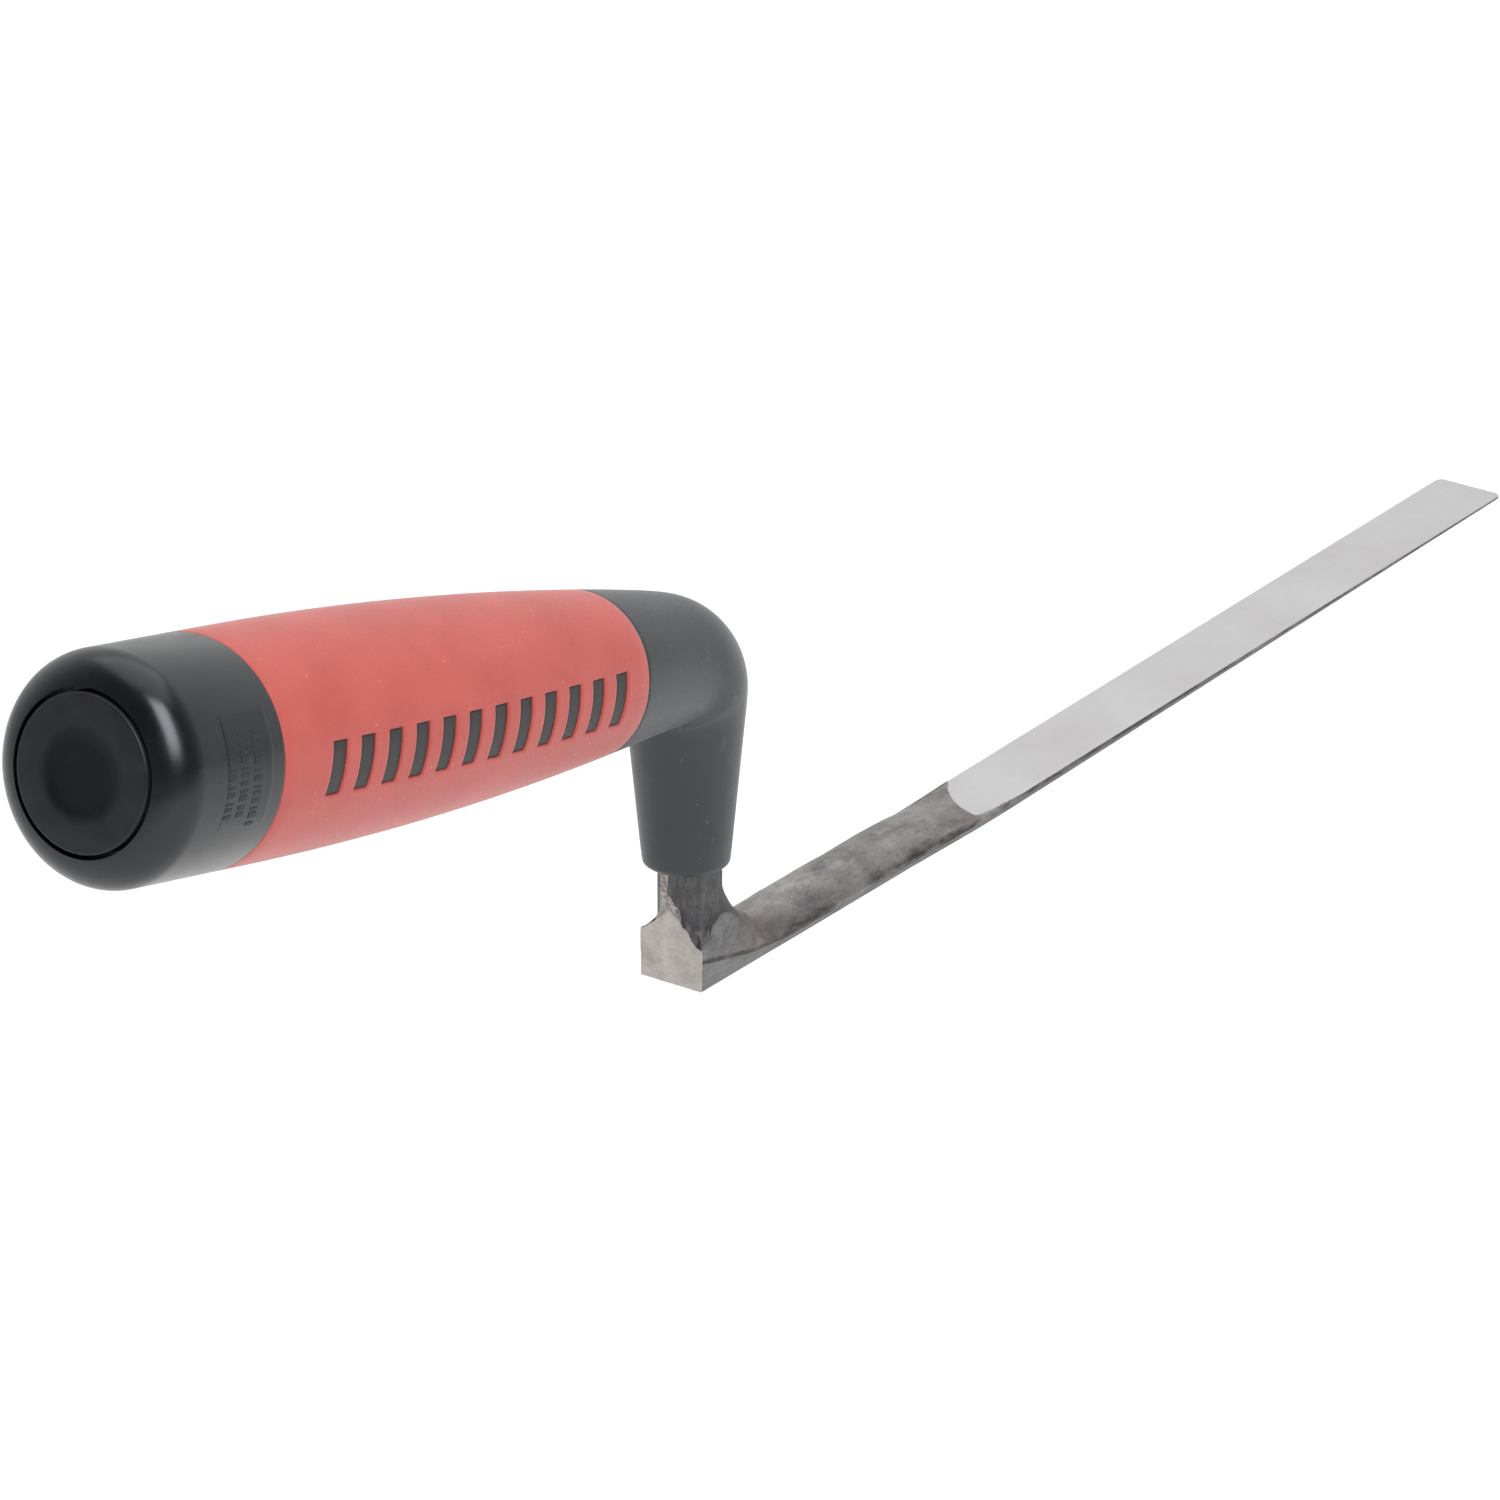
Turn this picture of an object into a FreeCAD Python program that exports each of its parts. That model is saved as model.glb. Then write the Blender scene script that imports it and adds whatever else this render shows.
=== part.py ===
"""Flat-bladed jointing tool: a one-piece forged blade, heel, shank and tang in a soft-grip handle.

Millimetres. +X runs forward along the blade, +Y to the left, +Z up. The origin is where the
upright neck's axis meets the sole. Handle pieces are drawn along their own axis, from the butt
forward, and then laid into place.
"""
import FreeCAD, Part
import math
import os

from FreeCAD import Rotation, Vector

# Blade and heel
SOLE_REAR_X = -3.15          # rear face of the heel
TIP_X = 172.6
TIP_RISE = 2.8               # the blade is set slightly upward
BEND_X = 54.0                # the sole is level up to here
BLADE_WIDTH = 9.5
BLADE_ROOT_X = 60.0          # the ground blade starts here
BLADE_ROOT_THICKNESS = 1.25
TIP_THICKNESS = 0.45
TIP_CORNER_R = 0.8
BAR_WIDTH = 8.9
BAR_SIDE_HEIGHT = 1.1        # height of the bar's upright edges
BAR_CROWN_HEIGHT = 3.8       # height of the bar's rounded top
BAR_TAPER_X = 40.0           # the bar starts to flatten here
TAPER_STATIONS = 6
HEEL_WIDTH = 8.8
HEEL_FRONT_X = 4.0           # the heel's footprint is rounded in front of this
HEEL_NOSE_LENGTH = 7.9

# Shank and tang
SHANK_X = 0.7                # the shank stands slightly ahead of the neck's axis
SHANK_R = 3.8
FLARE_FILLET_R = 7.4
FLARE_TOP_Z = 11.6
FLARE_LEAN = 7.5             # degrees: the hollow flare at its foot spreads more to the front
TANG_R = 3.4
TANG_SHOULDER_Z = 17.0
TANG_BEND_R = 9.0
THREAD_R = 3.0
THREAD_LENGTH = 9.5

# Handle, measured along its own axis from the butt
HANDLE_PITCH = 12.87         # degrees that the handle falls towards the neck
BUTT_X = -110.15
BUTT_Z = 66.22
GRIP_R = 13.25
CAP_LENGTH = 18.5
TAPER_START = 25.0           # the handle is straight up to here, then one long arc
TAPER_ARC_R = 645.0
GRIP_END = 91.8
BARREL_END = 107.3           # the elbow's barrel turns down into the neck here

# Elbow and neck
NECK_BOTTOM_Z = 13.95
NECK_BOTTOM_R = 5.1
NECK_EDGE_R = 1.1
ELBOW_INNER_R = 0.4          # the inside of the elbow is almost a sharp corner
ELBOW_RADII = (              # degrees above the neck's top, and the elbow's radius there
    (10.0, 7.22),
    (20.0, 7.48),
    (32.0, 7.6),
    (45.0, 7.68),
    (60.0, 7.8),
)

# Core, sleeve and cap
SLEEVE_THICKNESS = 2.2
REAR_SPIGOT_R = 10.4
FRONT_SPIGOT_R = 7.0
FRONT_SPIGOT_LENGTH = 10.0
CAP_WALL = 4.5               # from the butt to the front of the cap's end wall
CAP_EDGE_R = 4.6
CAP_OVERHANG = 0.3           # the cap's rim stands this far behind the plug's face
CAVITY_R = 7.6
CAVITY_END = 15.0

# Raised marks of the core that show through the sleeve on the right side
MARK_COUNT = 12
MARK_START = 27.0
MARK_PITCH = 5.2
MARK_WIDTH = 2.7
MARK_HEIGHT = 6.2
MARK_SLANT = 5.0             # degrees
MARK_RAISE = 0.2             # the row sits slightly above the handle's middle

# End plug
PLUG_R = 8.9
PLUG_SEAT_R = 9.25
PLUG_THICKNESS = 2.4
PLUG_COLLAR_LENGTH = 4.0
PLUG_DISH_R = 5.5
PLUG_DISH_DEPTH = 0.8

# Tang nut and washer, inside the butt
WASHER_R = 7.0
WASHER_THICKNESS = 1.2
WASHER_HOLE_R = 3.2
NUT_ACROSS_FLATS = 10.0
NUT_HEIGHT = 4.8

X_AXIS = Vector(1, 0, 0)
Y_AXIS = Vector(0, 1, 0)
Z_AXIS = Vector(0, 0, 1)


def line(a, b):
    return Part.makeLine(a, b)


def arc(a, middle, b):
    return Part.Arc(a, middle, b).toShape()


def face_of(edges):
    return Part.Face(Part.Wire(Part.__sortEdges__(edges)))


def box(x0, x1, y0, y1, z0, z1):
    return Part.makeBox(x1 - x0, y1 - y0, z1 - z0, Vector(x0, y0, z0))


def rod(radius, start, end):
    """A cylinder along the handle's axis."""
    return Part.makeCylinder(radius, end - start, Vector(start, 0, 0), X_AXIS)


def laid_in_handle(shape):
    """Moves a shape drawn along +X from the butt onto the handle's real axis."""
    placed = shape.copy()
    placed.rotate(Vector(0, 0, 0), Y_AXIS, HANDLE_PITCH)
    placed.translate(Vector(BUTT_X, 0, BUTT_Z))
    return placed


def sole_z(x):
    """Height of the sole: level under the heel, then rising evenly to the tip."""
    return max(0.0, (x - BEND_X) / (TIP_X - BEND_X)) * TIP_RISE


def outer_r(s):
    """Radius of the handle's outside at distance s from the butt."""
    beyond = max(0.0, s - TAPER_START)
    return GRIP_R - beyond ** 2 / (2 * TAPER_ARC_R)


# ---------------------------------------------------------------- blade, heel, shank and tang

def bar_section(x, width, side, crown):
    """Flat-bottomed section with upright edges and a rounded top."""
    z = sole_z(x)
    half = width / 2
    left_foot = Vector(x, half, z)
    right_foot = Vector(x, -half, z)
    left_top = Vector(x, half, z + side)
    right_top = Vector(x, -half, z + side)
    edges = [
        line(left_foot, right_foot),
        line(right_foot, right_top),
        arc(right_top, Vector(x, 0, z + crown), left_top),
        line(left_top, left_foot),
    ]
    return Part.Wire(edges)


def bar():
    """The rounded bar, and the stretch where it is drawn down to the blade."""
    straight = [
        bar_section(x, BAR_WIDTH, BAR_SIDE_HEIGHT, BAR_CROWN_HEIGHT)
        for x in (SOLE_REAR_X, BAR_TAPER_X)
    ]
    taper = []
    for i in range(TAPER_STATIONS + 1):
        t = i / TAPER_STATIONS
        ease = (1 - math.cos(math.pi * t)) / 2
        taper.append(bar_section(
            BAR_TAPER_X + t * (BLADE_ROOT_X - BAR_TAPER_X),
            BAR_WIDTH + ease * (BLADE_WIDTH - BAR_WIDTH),
            BAR_SIDE_HEIGHT + ease * (BLADE_ROOT_THICKNESS - 0.1 - BAR_SIDE_HEIGHT),
            BAR_CROWN_HEIGHT + ease * (BLADE_ROOT_THICKNESS - BAR_CROWN_HEIGHT),
        ))
    straight_bar = Part.makeLoft(straight, True, True)
    drawn_down = Part.makeLoft(taper, True, True)
    return straight_bar.fuse(drawn_down)


def blade():
    """Thin flat blade, ground thinner towards its square tip."""
    profile = Part.makePolygon([
        Vector(BLADE_ROOT_X, 0, sole_z(BLADE_ROOT_X)),
        Vector(TIP_X, 0, sole_z(TIP_X)),
        Vector(TIP_X, 0, sole_z(TIP_X) + TIP_THICKNESS),
        Vector(BLADE_ROOT_X, 0, sole_z(BLADE_ROOT_X) + BLADE_ROOT_THICKNESS),
        Vector(BLADE_ROOT_X, 0, sole_z(BLADE_ROOT_X)),
    ])
    slab = Part.Face(profile).extrude(Vector(0, BLADE_WIDTH, 0))
    slab.translate(Vector(0, -BLADE_WIDTH / 2, 0))
    corners = [
        edge for edge in slab.Edges
        if edge.BoundBox.XMin > TIP_X - 0.01 and edge.BoundBox.YLength < 0.01
    ]
    return slab.makeFillet(TIP_CORNER_R, corners)


def heel_footprint():
    """Plan of the heel: square at the rear, half an ellipse in front."""
    half = HEEL_WIDTH / 2
    rear_left = Vector(SOLE_REAR_X, half, 0)
    rear_right = Vector(SOLE_REAR_X, -half, 0)
    front_left = Vector(HEEL_FRONT_X, half, 0)
    front_right = Vector(HEEL_FRONT_X, -half, 0)
    tip = Vector(HEEL_FRONT_X + HEEL_NOSE_LENGTH, 0, 0)
    ellipse = Part.Ellipse(tip, front_left, Vector(HEEL_FRONT_X, 0, 0))
    nose = ellipse.toShape(-math.pi / 2, math.pi / 2)
    return face_of([
        line(front_left, rear_left),
        line(rear_left, rear_right),
        line(rear_right, front_right),
        nose,
    ])


def flared_shank():
    """Round shank with a hollow fillet that spreads into the heel."""
    fillet_centre_r = SHANK_R + FLARE_FILLET_R
    foot_z = FLARE_TOP_Z - FLARE_FILLET_R
    turn = math.radians(45)
    middle = Vector(
        fillet_centre_r - FLARE_FILLET_R * math.cos(turn),
        0,
        FLARE_TOP_Z - FLARE_FILLET_R * math.sin(turn),
    )
    axis_foot = Vector(0, 0, 0)
    axis_top = Vector(0, 0, FLARE_TOP_Z)
    flare_top = Vector(SHANK_R, 0, FLARE_TOP_Z)
    flare_foot = Vector(fillet_centre_r, 0, foot_z)
    foot = Vector(fillet_centre_r, 0, 0)
    half = face_of([
        line(axis_foot, axis_top),
        line(axis_top, flare_top),
        arc(flare_top, middle, flare_foot),
        line(flare_foot, foot),
        line(foot, axis_foot),
    ])
    flare = half.revolve(Vector(0, 0, 0), Z_AXIS, 360)
    flare.rotate(axis_top, Y_AXIS, -FLARE_LEAN)
    flare.translate(Vector(SHANK_X, 0, 0))
    shank = Part.makeCylinder(SHANK_R, TANG_SHOULDER_Z, Vector(SHANK_X, 0, 0), Z_AXIS)
    return shank.fuse(flare)


def handle_point(s):
    """A point on the handle's axis, in the tool's frame."""
    pitch = math.radians(HANDLE_PITCH)
    return Vector(BUTT_X + s * math.cos(pitch), 0, BUTT_Z - s * math.sin(pitch))


def thread_end_s():
    """The tang's threaded end stands just proud of the nut."""
    return CAVITY_END - WASHER_THICKNESS - NUT_HEIGHT - 1.5


def tang():
    """Round tang: up the neck, round the elbow and back through the handle."""
    pitch = math.radians(HANDLE_PITCH)
    turn = math.pi / 2 - pitch
    corner_s = (SHANK_X - BUTT_X) / math.cos(pitch)
    corner = handle_point(corner_s)
    setback = TANG_BEND_R * math.tan(turn / 2)
    bottom = Vector(SHANK_X, 0, TANG_SHOULDER_Z - 1.0)
    bend_start = Vector(SHANK_X, 0, corner.z - setback)
    centre = bend_start - Vector(TANG_BEND_R, 0, 0)
    bend_middle = centre + Vector(math.cos(turn / 2), 0, math.sin(turn / 2)) * TANG_BEND_R
    bend_end = handle_point(corner_s - setback)
    thread_start_s = thread_end_s() + THREAD_LENGTH
    path = Part.Wire([
        line(bottom, bend_start),
        arc(bend_start, bend_middle, bend_end),
        line(bend_end, handle_point(thread_start_s)),
    ])
    section = Part.Wire(Part.makeCircle(TANG_R, bottom, Z_AXIS))
    bent = path.makePipeShell([section], True, True)
    thread = laid_in_handle(rod(THREAD_R, thread_end_s(), thread_start_s + 1.0))
    return bent.fuse(thread)


def blade_forging():
    heel = flared_shank().common(heel_footprint().extrude(Vector(0, 0, TANG_SHOULDER_Z)))
    behind_heel = box(SOLE_REAR_X - 20, SOLE_REAR_X, -20, 20, 0, TANG_SHOULDER_Z + 1)
    solid = bar().fuse([blade(), heel, tang()]).removeSplitter()
    return solid.cut(behind_heel).Solids[0]


# ---------------------------------------------------------------- handle outlines

def outer_band(start, end, inner_r):
    """The handle's outside between two stations, as a turned solid with a straight hole."""
    middle = (max(start, TAPER_START) + end) / 2
    outline = []
    if start < TAPER_START:
        outline.append(line(Vector(start, 0, GRIP_R), Vector(TAPER_START, 0, GRIP_R)))
    taper_from = max(start, TAPER_START)
    outline.append(arc(
        Vector(taper_from, 0, outer_r(taper_from)),
        Vector(middle, 0, outer_r(middle)),
        Vector(end, 0, outer_r(end)),
    ))
    ends = [
        line(Vector(start, 0, inner_r), Vector(start, 0, outer_r(start))),
        line(Vector(end, 0, inner_r), Vector(end, 0, outer_r(end))),
        line(Vector(start, 0, inner_r), Vector(end, 0, inner_r)),
    ]
    return face_of(outline + ends).revolve(Vector(0, 0, 0), X_AXIS, 360)


def core_body():
    """The core's turned body, a sleeve's thickness under the outside, with both spigots."""
    middle = (TAPER_START + GRIP_END) / 2
    rear_r = GRIP_R - SLEEVE_THICKNESS
    outline = [
        line(Vector(CAP_LENGTH, 0, 0), Vector(CAP_LENGTH, 0, rear_r)),
        line(Vector(CAP_LENGTH, 0, rear_r), Vector(TAPER_START, 0, rear_r)),
        arc(
            Vector(TAPER_START, 0, rear_r),
            Vector(middle, 0, outer_r(middle) - SLEEVE_THICKNESS),
            Vector(GRIP_END, 0, outer_r(GRIP_END) - SLEEVE_THICKNESS),
        ),
        line(Vector(GRIP_END, 0, outer_r(GRIP_END) - SLEEVE_THICKNESS), Vector(GRIP_END, 0, 0)),
        line(Vector(GRIP_END, 0, 0), Vector(CAP_LENGTH, 0, 0)),
    ]
    body = face_of(outline).revolve(Vector(0, 0, 0), X_AXIS, 360)
    rear_spigot = rod(REAR_SPIGOT_R, CAP_WALL, CAP_LENGTH)
    front_spigot = rod(FRONT_SPIGOT_R, GRIP_END, GRIP_END + FRONT_SPIGOT_LENGTH)
    return body.fuse([rear_spigot, front_spigot])


def marks():
    """A row of plain slanted bars, seen from the right side."""
    lean = MARK_HEIGHT / 2 * math.tan(math.radians(MARK_SLANT))
    half_width = MARK_WIDTH / 2
    half_height = MARK_HEIGHT / 2
    bars = []
    for i in range(MARK_COUNT):
        s = MARK_START + i * MARK_PITCH + half_width
        outline = Part.makePolygon([
            Vector(s - half_width - lean, 0, MARK_RAISE - half_height),
            Vector(s + half_width - lean, 0, MARK_RAISE - half_height),
            Vector(s + half_width + lean, 0, MARK_RAISE + half_height),
            Vector(s - half_width + lean, 0, MARK_RAISE + half_height),
            Vector(s - half_width - lean, 0, MARK_RAISE - half_height),
        ])
        bars.append(Part.Face(outline).extrude(Vector(0, -GRIP_R - 1, 0)))
    return Part.makeCompound(bars)


def grip_shell():
    return outer_band(CAP_LENGTH, GRIP_END, FRONT_SPIGOT_R)


def handle_core_drawn():
    """Core with its raised marks and the cavity for the nut, still along +X."""
    raised = grip_shell().common(marks())
    cavity = rod(CAVITY_R, CAP_WALL, CAVITY_END)
    return core_body().fuse(raised).cut(cavity)


def handle_core(forging):
    return laid_in_handle(handle_core_drawn()).cut(forging).Solids[0]


def soft_grip():
    """Soft sleeve over the core, with a window round each raised mark."""
    return laid_in_handle(grip_shell().cut(handle_core_drawn()).Solids[0])


def butt_cap():
    """Round cap with a large edge radius, a seat for the plug and a socket for the core."""
    corner_r = GRIP_R - CAP_EDGE_R
    corner_s = CAP_EDGE_R - CAP_OVERHANG
    turn = math.radians(45)
    corner_middle = Vector(
        corner_s - CAP_EDGE_R * math.cos(turn), 0, corner_r + CAP_EDGE_R * math.sin(turn)
    )
    outline = [
        line(Vector(-CAP_OVERHANG, 0, 0), Vector(-CAP_OVERHANG, 0, corner_r)),
        arc(
            Vector(-CAP_OVERHANG, 0, corner_r),
            corner_middle,
            Vector(corner_s, 0, GRIP_R),
        ),
        line(Vector(corner_s, 0, GRIP_R), Vector(CAP_LENGTH, 0, GRIP_R)),
        line(Vector(CAP_LENGTH, 0, GRIP_R), Vector(CAP_LENGTH, 0, 0)),
        line(Vector(CAP_LENGTH, 0, 0), Vector(-CAP_OVERHANG, 0, 0)),
    ]
    solid = face_of(outline).revolve(Vector(0, 0, 0), X_AXIS, 360)
    seat = rod(PLUG_SEAT_R, -CAP_OVERHANG - 1, PLUG_THICKNESS)
    through = rod(CAVITY_R, 0, CAP_WALL)
    socket = rod(REAR_SPIGOT_R, CAP_WALL, CAP_LENGTH + 1)
    return laid_in_handle(solid.cut(seat.fuse([through, socket]))).Solids[0]


def end_plug():
    """Round plug with a shallow dished centre and a collar that presses into the cap."""
    disc = rod(PLUG_R, 0, PLUG_THICKNESS)
    rim = [edge for edge in disc.Edges if edge.BoundBox.XMax < 0.01]
    disc = disc.makeFillet(0.4, rim)
    collar = rod(CAVITY_R, PLUG_THICKNESS, PLUG_THICKNESS + PLUG_COLLAR_LENGTH)
    dish_floor_r = PLUG_DISH_R - PLUG_DISH_DEPTH
    dish = Part.makeCone(PLUG_DISH_R, dish_floor_r, PLUG_DISH_DEPTH, Vector(0, 0, 0), X_AXIS)
    return laid_in_handle(disc.fuse(collar).removeSplitter().cut(dish)).Solids[0]


def tang_washer():
    outside = rod(WASHER_R, CAVITY_END - WASHER_THICKNESS, CAVITY_END)
    hole = rod(WASHER_HOLE_R, CAVITY_END - WASHER_THICKNESS, CAVITY_END)
    return laid_in_handle(outside.cut(hole)).Solids[0]


def tang_nut():
    seat_s = CAVITY_END - WASHER_THICKNESS
    corner_r = NUT_ACROSS_FLATS / 2 / math.cos(math.radians(30))
    corners = [
        Rotation(X_AXIS, 60 * i).multVec(Vector(seat_s, 0, corner_r))
        for i in range(6)
    ]
    hexagon = Part.Face(Part.makePolygon(corners + corners[:1]))
    prism = hexagon.extrude(Vector(-NUT_HEIGHT, 0, 0))
    thread_hole = rod(THREAD_R, seat_s - NUT_HEIGHT, seat_s)
    return laid_in_handle(prism.cut(thread_hole)).Solids[0]


# ---------------------------------------------------------------- neck boot

def elbow_pivot():
    """The centre of the elbow's turn, just inside the corner between neck and handle."""
    pitch = math.radians(HANDLE_PITCH)
    below = outer_r(BARREL_END) + ELBOW_INNER_R
    return handle_point(BARREL_END) - Vector(math.sin(pitch), 0, math.cos(pitch)) * below


def elbow_section(degrees, radius):
    """A round section across the elbow, at an angle above the neck's top."""
    turn = math.radians(degrees)
    outward = Vector(math.cos(turn), 0, math.sin(turn))
    across = Vector(-math.sin(turn), 0, math.cos(turn))
    centre = elbow_pivot() + outward * (radius + ELBOW_INNER_R)
    return Part.Wire(Part.makeCircle(radius, centre, across))


def neck_top_r():
    return -elbow_pivot().x - ELBOW_INNER_R


def elbow():
    """The turn from the neck into the barrel, lofted through round sections."""
    sections = [elbow_section(0, neck_top_r())]
    sections += [elbow_section(degrees, radius) for degrees, radius in ELBOW_RADII]
    sections.append(elbow_section(90 - HANDLE_PITCH, outer_r(BARREL_END)))
    return Part.makeLoft(sections, True, False)


def neck():
    """Round tapered neck with a rounded bottom edge."""
    top_z = elbow_pivot().z
    top_r = neck_top_r()
    slope = (top_r - NECK_BOTTOM_R) / (top_z - NECK_BOTTOM_Z)
    edge_turn = NECK_EDGE_R * (1 - math.cos(math.radians(45)))
    bottom = Vector(0, 0, NECK_BOTTOM_Z)
    ring = Vector(NECK_BOTTOM_R - NECK_EDGE_R, 0, NECK_BOTTOM_Z)
    edge_middle = Vector(NECK_BOTTOM_R - edge_turn, 0, NECK_BOTTOM_Z + edge_turn)
    edge_top = Vector(NECK_BOTTOM_R + slope * NECK_EDGE_R, 0, NECK_BOTTOM_Z + NECK_EDGE_R)
    half = face_of([
        line(bottom, ring),
        arc(ring, edge_middle, edge_top),
        line(edge_top, Vector(top_r, 0, top_z)),
        line(Vector(top_r, 0, top_z), Vector(0, 0, top_z)),
        line(Vector(0, 0, top_z), bottom),
    ])
    return half.revolve(Vector(0, 0, 0), Z_AXIS, 360)


def neck_boot(forging):
    barrel = laid_in_handle(outer_band(GRIP_END, BARREL_END, 0))
    socket = laid_in_handle(rod(FRONT_SPIGOT_R, GRIP_END - 1, GRIP_END + FRONT_SPIGOT_LENGTH))
    return barrel.fuse([elbow(), neck()]).cut(socket).cut(forging).Solids[0]


def main():
    forging = blade_forging()
    nodes = {
        "blade_forging": forging,
        "neck_boot": neck_boot(forging),
        "handle_core": handle_core(forging),
        "soft_grip": soft_grip(),
        "butt_cap": butt_cap(),
        "end_plug": end_plug(),
        "tang_washer": tang_washer(),
        "tang_nut": tang_nut(),
    }
    os.makedirs("parts", exist_ok=True)
    for name, shape in nodes.items():
        shape.exportStep(f"parts/{name}.step")
        print(name, shape.ShapeType, len(shape.Solids), shape.isValid(), round(shape.Volume, 1))


main()
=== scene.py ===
"""Looks of the flat-bladed jointing tool. Blender 4.5.

Lengths are written in millimetres and meshes are scaled to metres as they are made. The frame is the
CAD model's: +X forward along the blade, +Y left, +Z up, origin on the sole under the neck's axis.
"""

import math

import bmesh
import bpy
import numpy as np
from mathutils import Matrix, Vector, noise


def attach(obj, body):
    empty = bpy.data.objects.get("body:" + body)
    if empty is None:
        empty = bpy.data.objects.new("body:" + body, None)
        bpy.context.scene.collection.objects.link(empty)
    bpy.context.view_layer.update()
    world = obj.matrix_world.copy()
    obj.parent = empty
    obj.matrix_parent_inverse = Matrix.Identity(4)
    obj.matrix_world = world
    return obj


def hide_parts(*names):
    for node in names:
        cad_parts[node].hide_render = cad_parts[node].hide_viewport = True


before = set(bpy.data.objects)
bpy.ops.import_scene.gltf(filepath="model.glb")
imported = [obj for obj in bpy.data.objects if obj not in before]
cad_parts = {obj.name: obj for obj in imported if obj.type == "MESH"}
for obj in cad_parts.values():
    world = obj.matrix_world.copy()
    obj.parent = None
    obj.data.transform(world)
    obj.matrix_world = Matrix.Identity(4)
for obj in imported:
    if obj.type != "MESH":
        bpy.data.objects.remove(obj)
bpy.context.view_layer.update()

MM = 0.001
SHARP_ANGLE = 38             # edges that turn by more degrees than this stay sharp

# Blade, bar and heel
REAR_X = -3.15
TIP_X = 172.6
TIP_RISE = 2.8
BEND_X = 54.0                # in front of this the blade rises towards its tip
TIP_CORNER_R = 0.8
TIP_THICKNESS = 0.45
BLADE_ROOT_X = 60.0
BLADE_ROOT_THICKNESS = 1.25
BAR_SIDE_HEIGHT = 1.1
BAR_CROWN_HEIGHT = 3.8
BAR_TAPER_X = 40.0
HALF_WIDTHS = (
    (REAR_X, 4.4), (8.0, 4.4), (16.0, 4.45), (BAR_TAPER_X, 4.45), (BLADE_ROOT_X, 4.75), (TIP_X, 4.75),
)
ARRIS = 0.12                 # small chamfer along the sole's edges
TOP_CHAMFER = 0.1
TOP_CHAMFER_WIDTH = 0.25

# Forged skin of the bar: noises as (height, feature size, seed)
BAR_WAVES = ((0.13, 7.0, 1), (0.06, 2.2, 2))
SKIN_PROUD = 0.05            # the skin stands this far above the ground steel
SKIN_SETTLES = 1.2           # it evens out within this distance of the sides

# The ground face on top of the blade ends at the rear in a skewed round end
GROUND_END_X = 54.4
GROUND_END_Y = -3.7
GROUND_END_CURVE = 0.09
GROUND_EDGE_SOFTNESS = 0.14
GROUND_RIGHT_EDGE = ((54.0, -3.75), (56.0, -4.2), (59.0, -4.55), (63.0, -4.8), (64.0, -5.5), (173.0, -5.5))

# Polished strip along the sides, and the ledge above it where the forged skin begins
STRIP_HEIGHTS = ((REAR_X, 3.63), (7.05, 1.43), (14.35, 0.71), (50.0, 0.66), (62.0, 0.6), (TIP_X, 0.26))
STRIP_SHARE = 0.62           # the strip takes up at most this share of the side
LEDGE = 0.07
LEDGE_FADE = (0.5, 1.1)      # sides lower than this have no ledge, higher ones all of it
LEDGE_ABOVE, LEDGE_BELOW = 0.05, 0.03

# Heel
HEEL_FRONT_X = 15.0          # the heel's surface runs into the plain bar here
HEEL_HALF_WIDTH = 4.4
HEEL_NOSE_X = 4.0            # in front of this the heel's footprint is half an ellipse
HEEL_NOSE_LENGTH = 6.3
NOSE_START = 0.92            # the top starts to fall at this share of the ellipse
NOSE_FADE = (2.0, 8.0)
HEEL_BLEND = 1.2
# Sloping faces that cut the flare lower: height at REAR_X, slopes along x and y, the y that the height
# is for, then height and width of the upturn against the shank
LEFT_CUT = (6.1, -0.4, -0.89, HEEL_HALF_WIDTH, 0.8, 0.3)
HOLLOW_CUT = (6.3, 0.7, 0.67, -3.0, 3.0, 0.35)
HOLLOW_END = (-1.2, -0.3)    # the hollow runs out between these places along x
HOLLOW_RUNOUT = 8.0
LEFT_BLEND, HOLLOW_BLEND = 0.2, 0.3
HEEL_WAVE = (0.16, 2.6, 3)
JAG_SIZE, JAG_SEED = 0.65, 4
JAG_HEIGHT, REAR_JAG_HEIGHT = 0.2, 0.35
REAR_JAG_X = (-1.6, -2.6)
REAR_JAG_Y = (1.5, -1.0)

# Shank and tang
SHANK_X = 0.7
SHANK_R = 3.8
FLARE_FILLET_R = 7.4
FLARE_TOP_Z = 11.6
FLARE_LEAN = math.radians(7.5)
FLARE_FOOT_X, FLARE_FOOT_R = 2.2, 10.0   # outside this circle the flare falls away
FLARE_FALL = 2.0
HALVINGS = 36
TANG_R = 3.4
TANG_SHOULDER_Z = 17.0
TANG_BEND_R = 9.0
THREAD_R = 3.0
THREAD_START, THREAD_END = 17.0, 7.5

# Edges of the filed strip that runs on from the rear face up the shank, as (z, y)
FILED_FROM_Z = 7.6
FILED_BEHIND_X = -1.5
FILED_RIGHT = ((7.6, -1.6), (9.0, -1.35), (9.9, -1.15), (10.3, -0.5), (10.9, 0.6), (14.0, 0.3))
FILED_LEFT = ((8.0, 2.2), (9.4, 1.95), (14.0, 1.9))

# Places of the forging's marks and of its painted shade, which its shader colours
NOT_GROUND = -3.0
NO_BAND = 9.0
HEEL_TOP_END_X = 30.0
BAND_START_X = 2.0
BAND_EDGE_SLOPE = 0.75       # the dark band thins out towards the middle of the bar
BAND_HEEL_X, BAND_HEEL_SLOPE = 14.0, 0.35
CHEEK_END_X = 9.0
STEM_END_X = 12.0
STEM_REAR_LIFT = 3.0
STEM_REAR_X = (1.2, 0.2)
POCKET_X, POCKET_Y = 1.5, 1.0
SCORCH_X, SCORCH_Y = 10.3, -3.1
SCORCH_LENGTH, SCORCH_WIDTH = 7.0, 2.9

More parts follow.
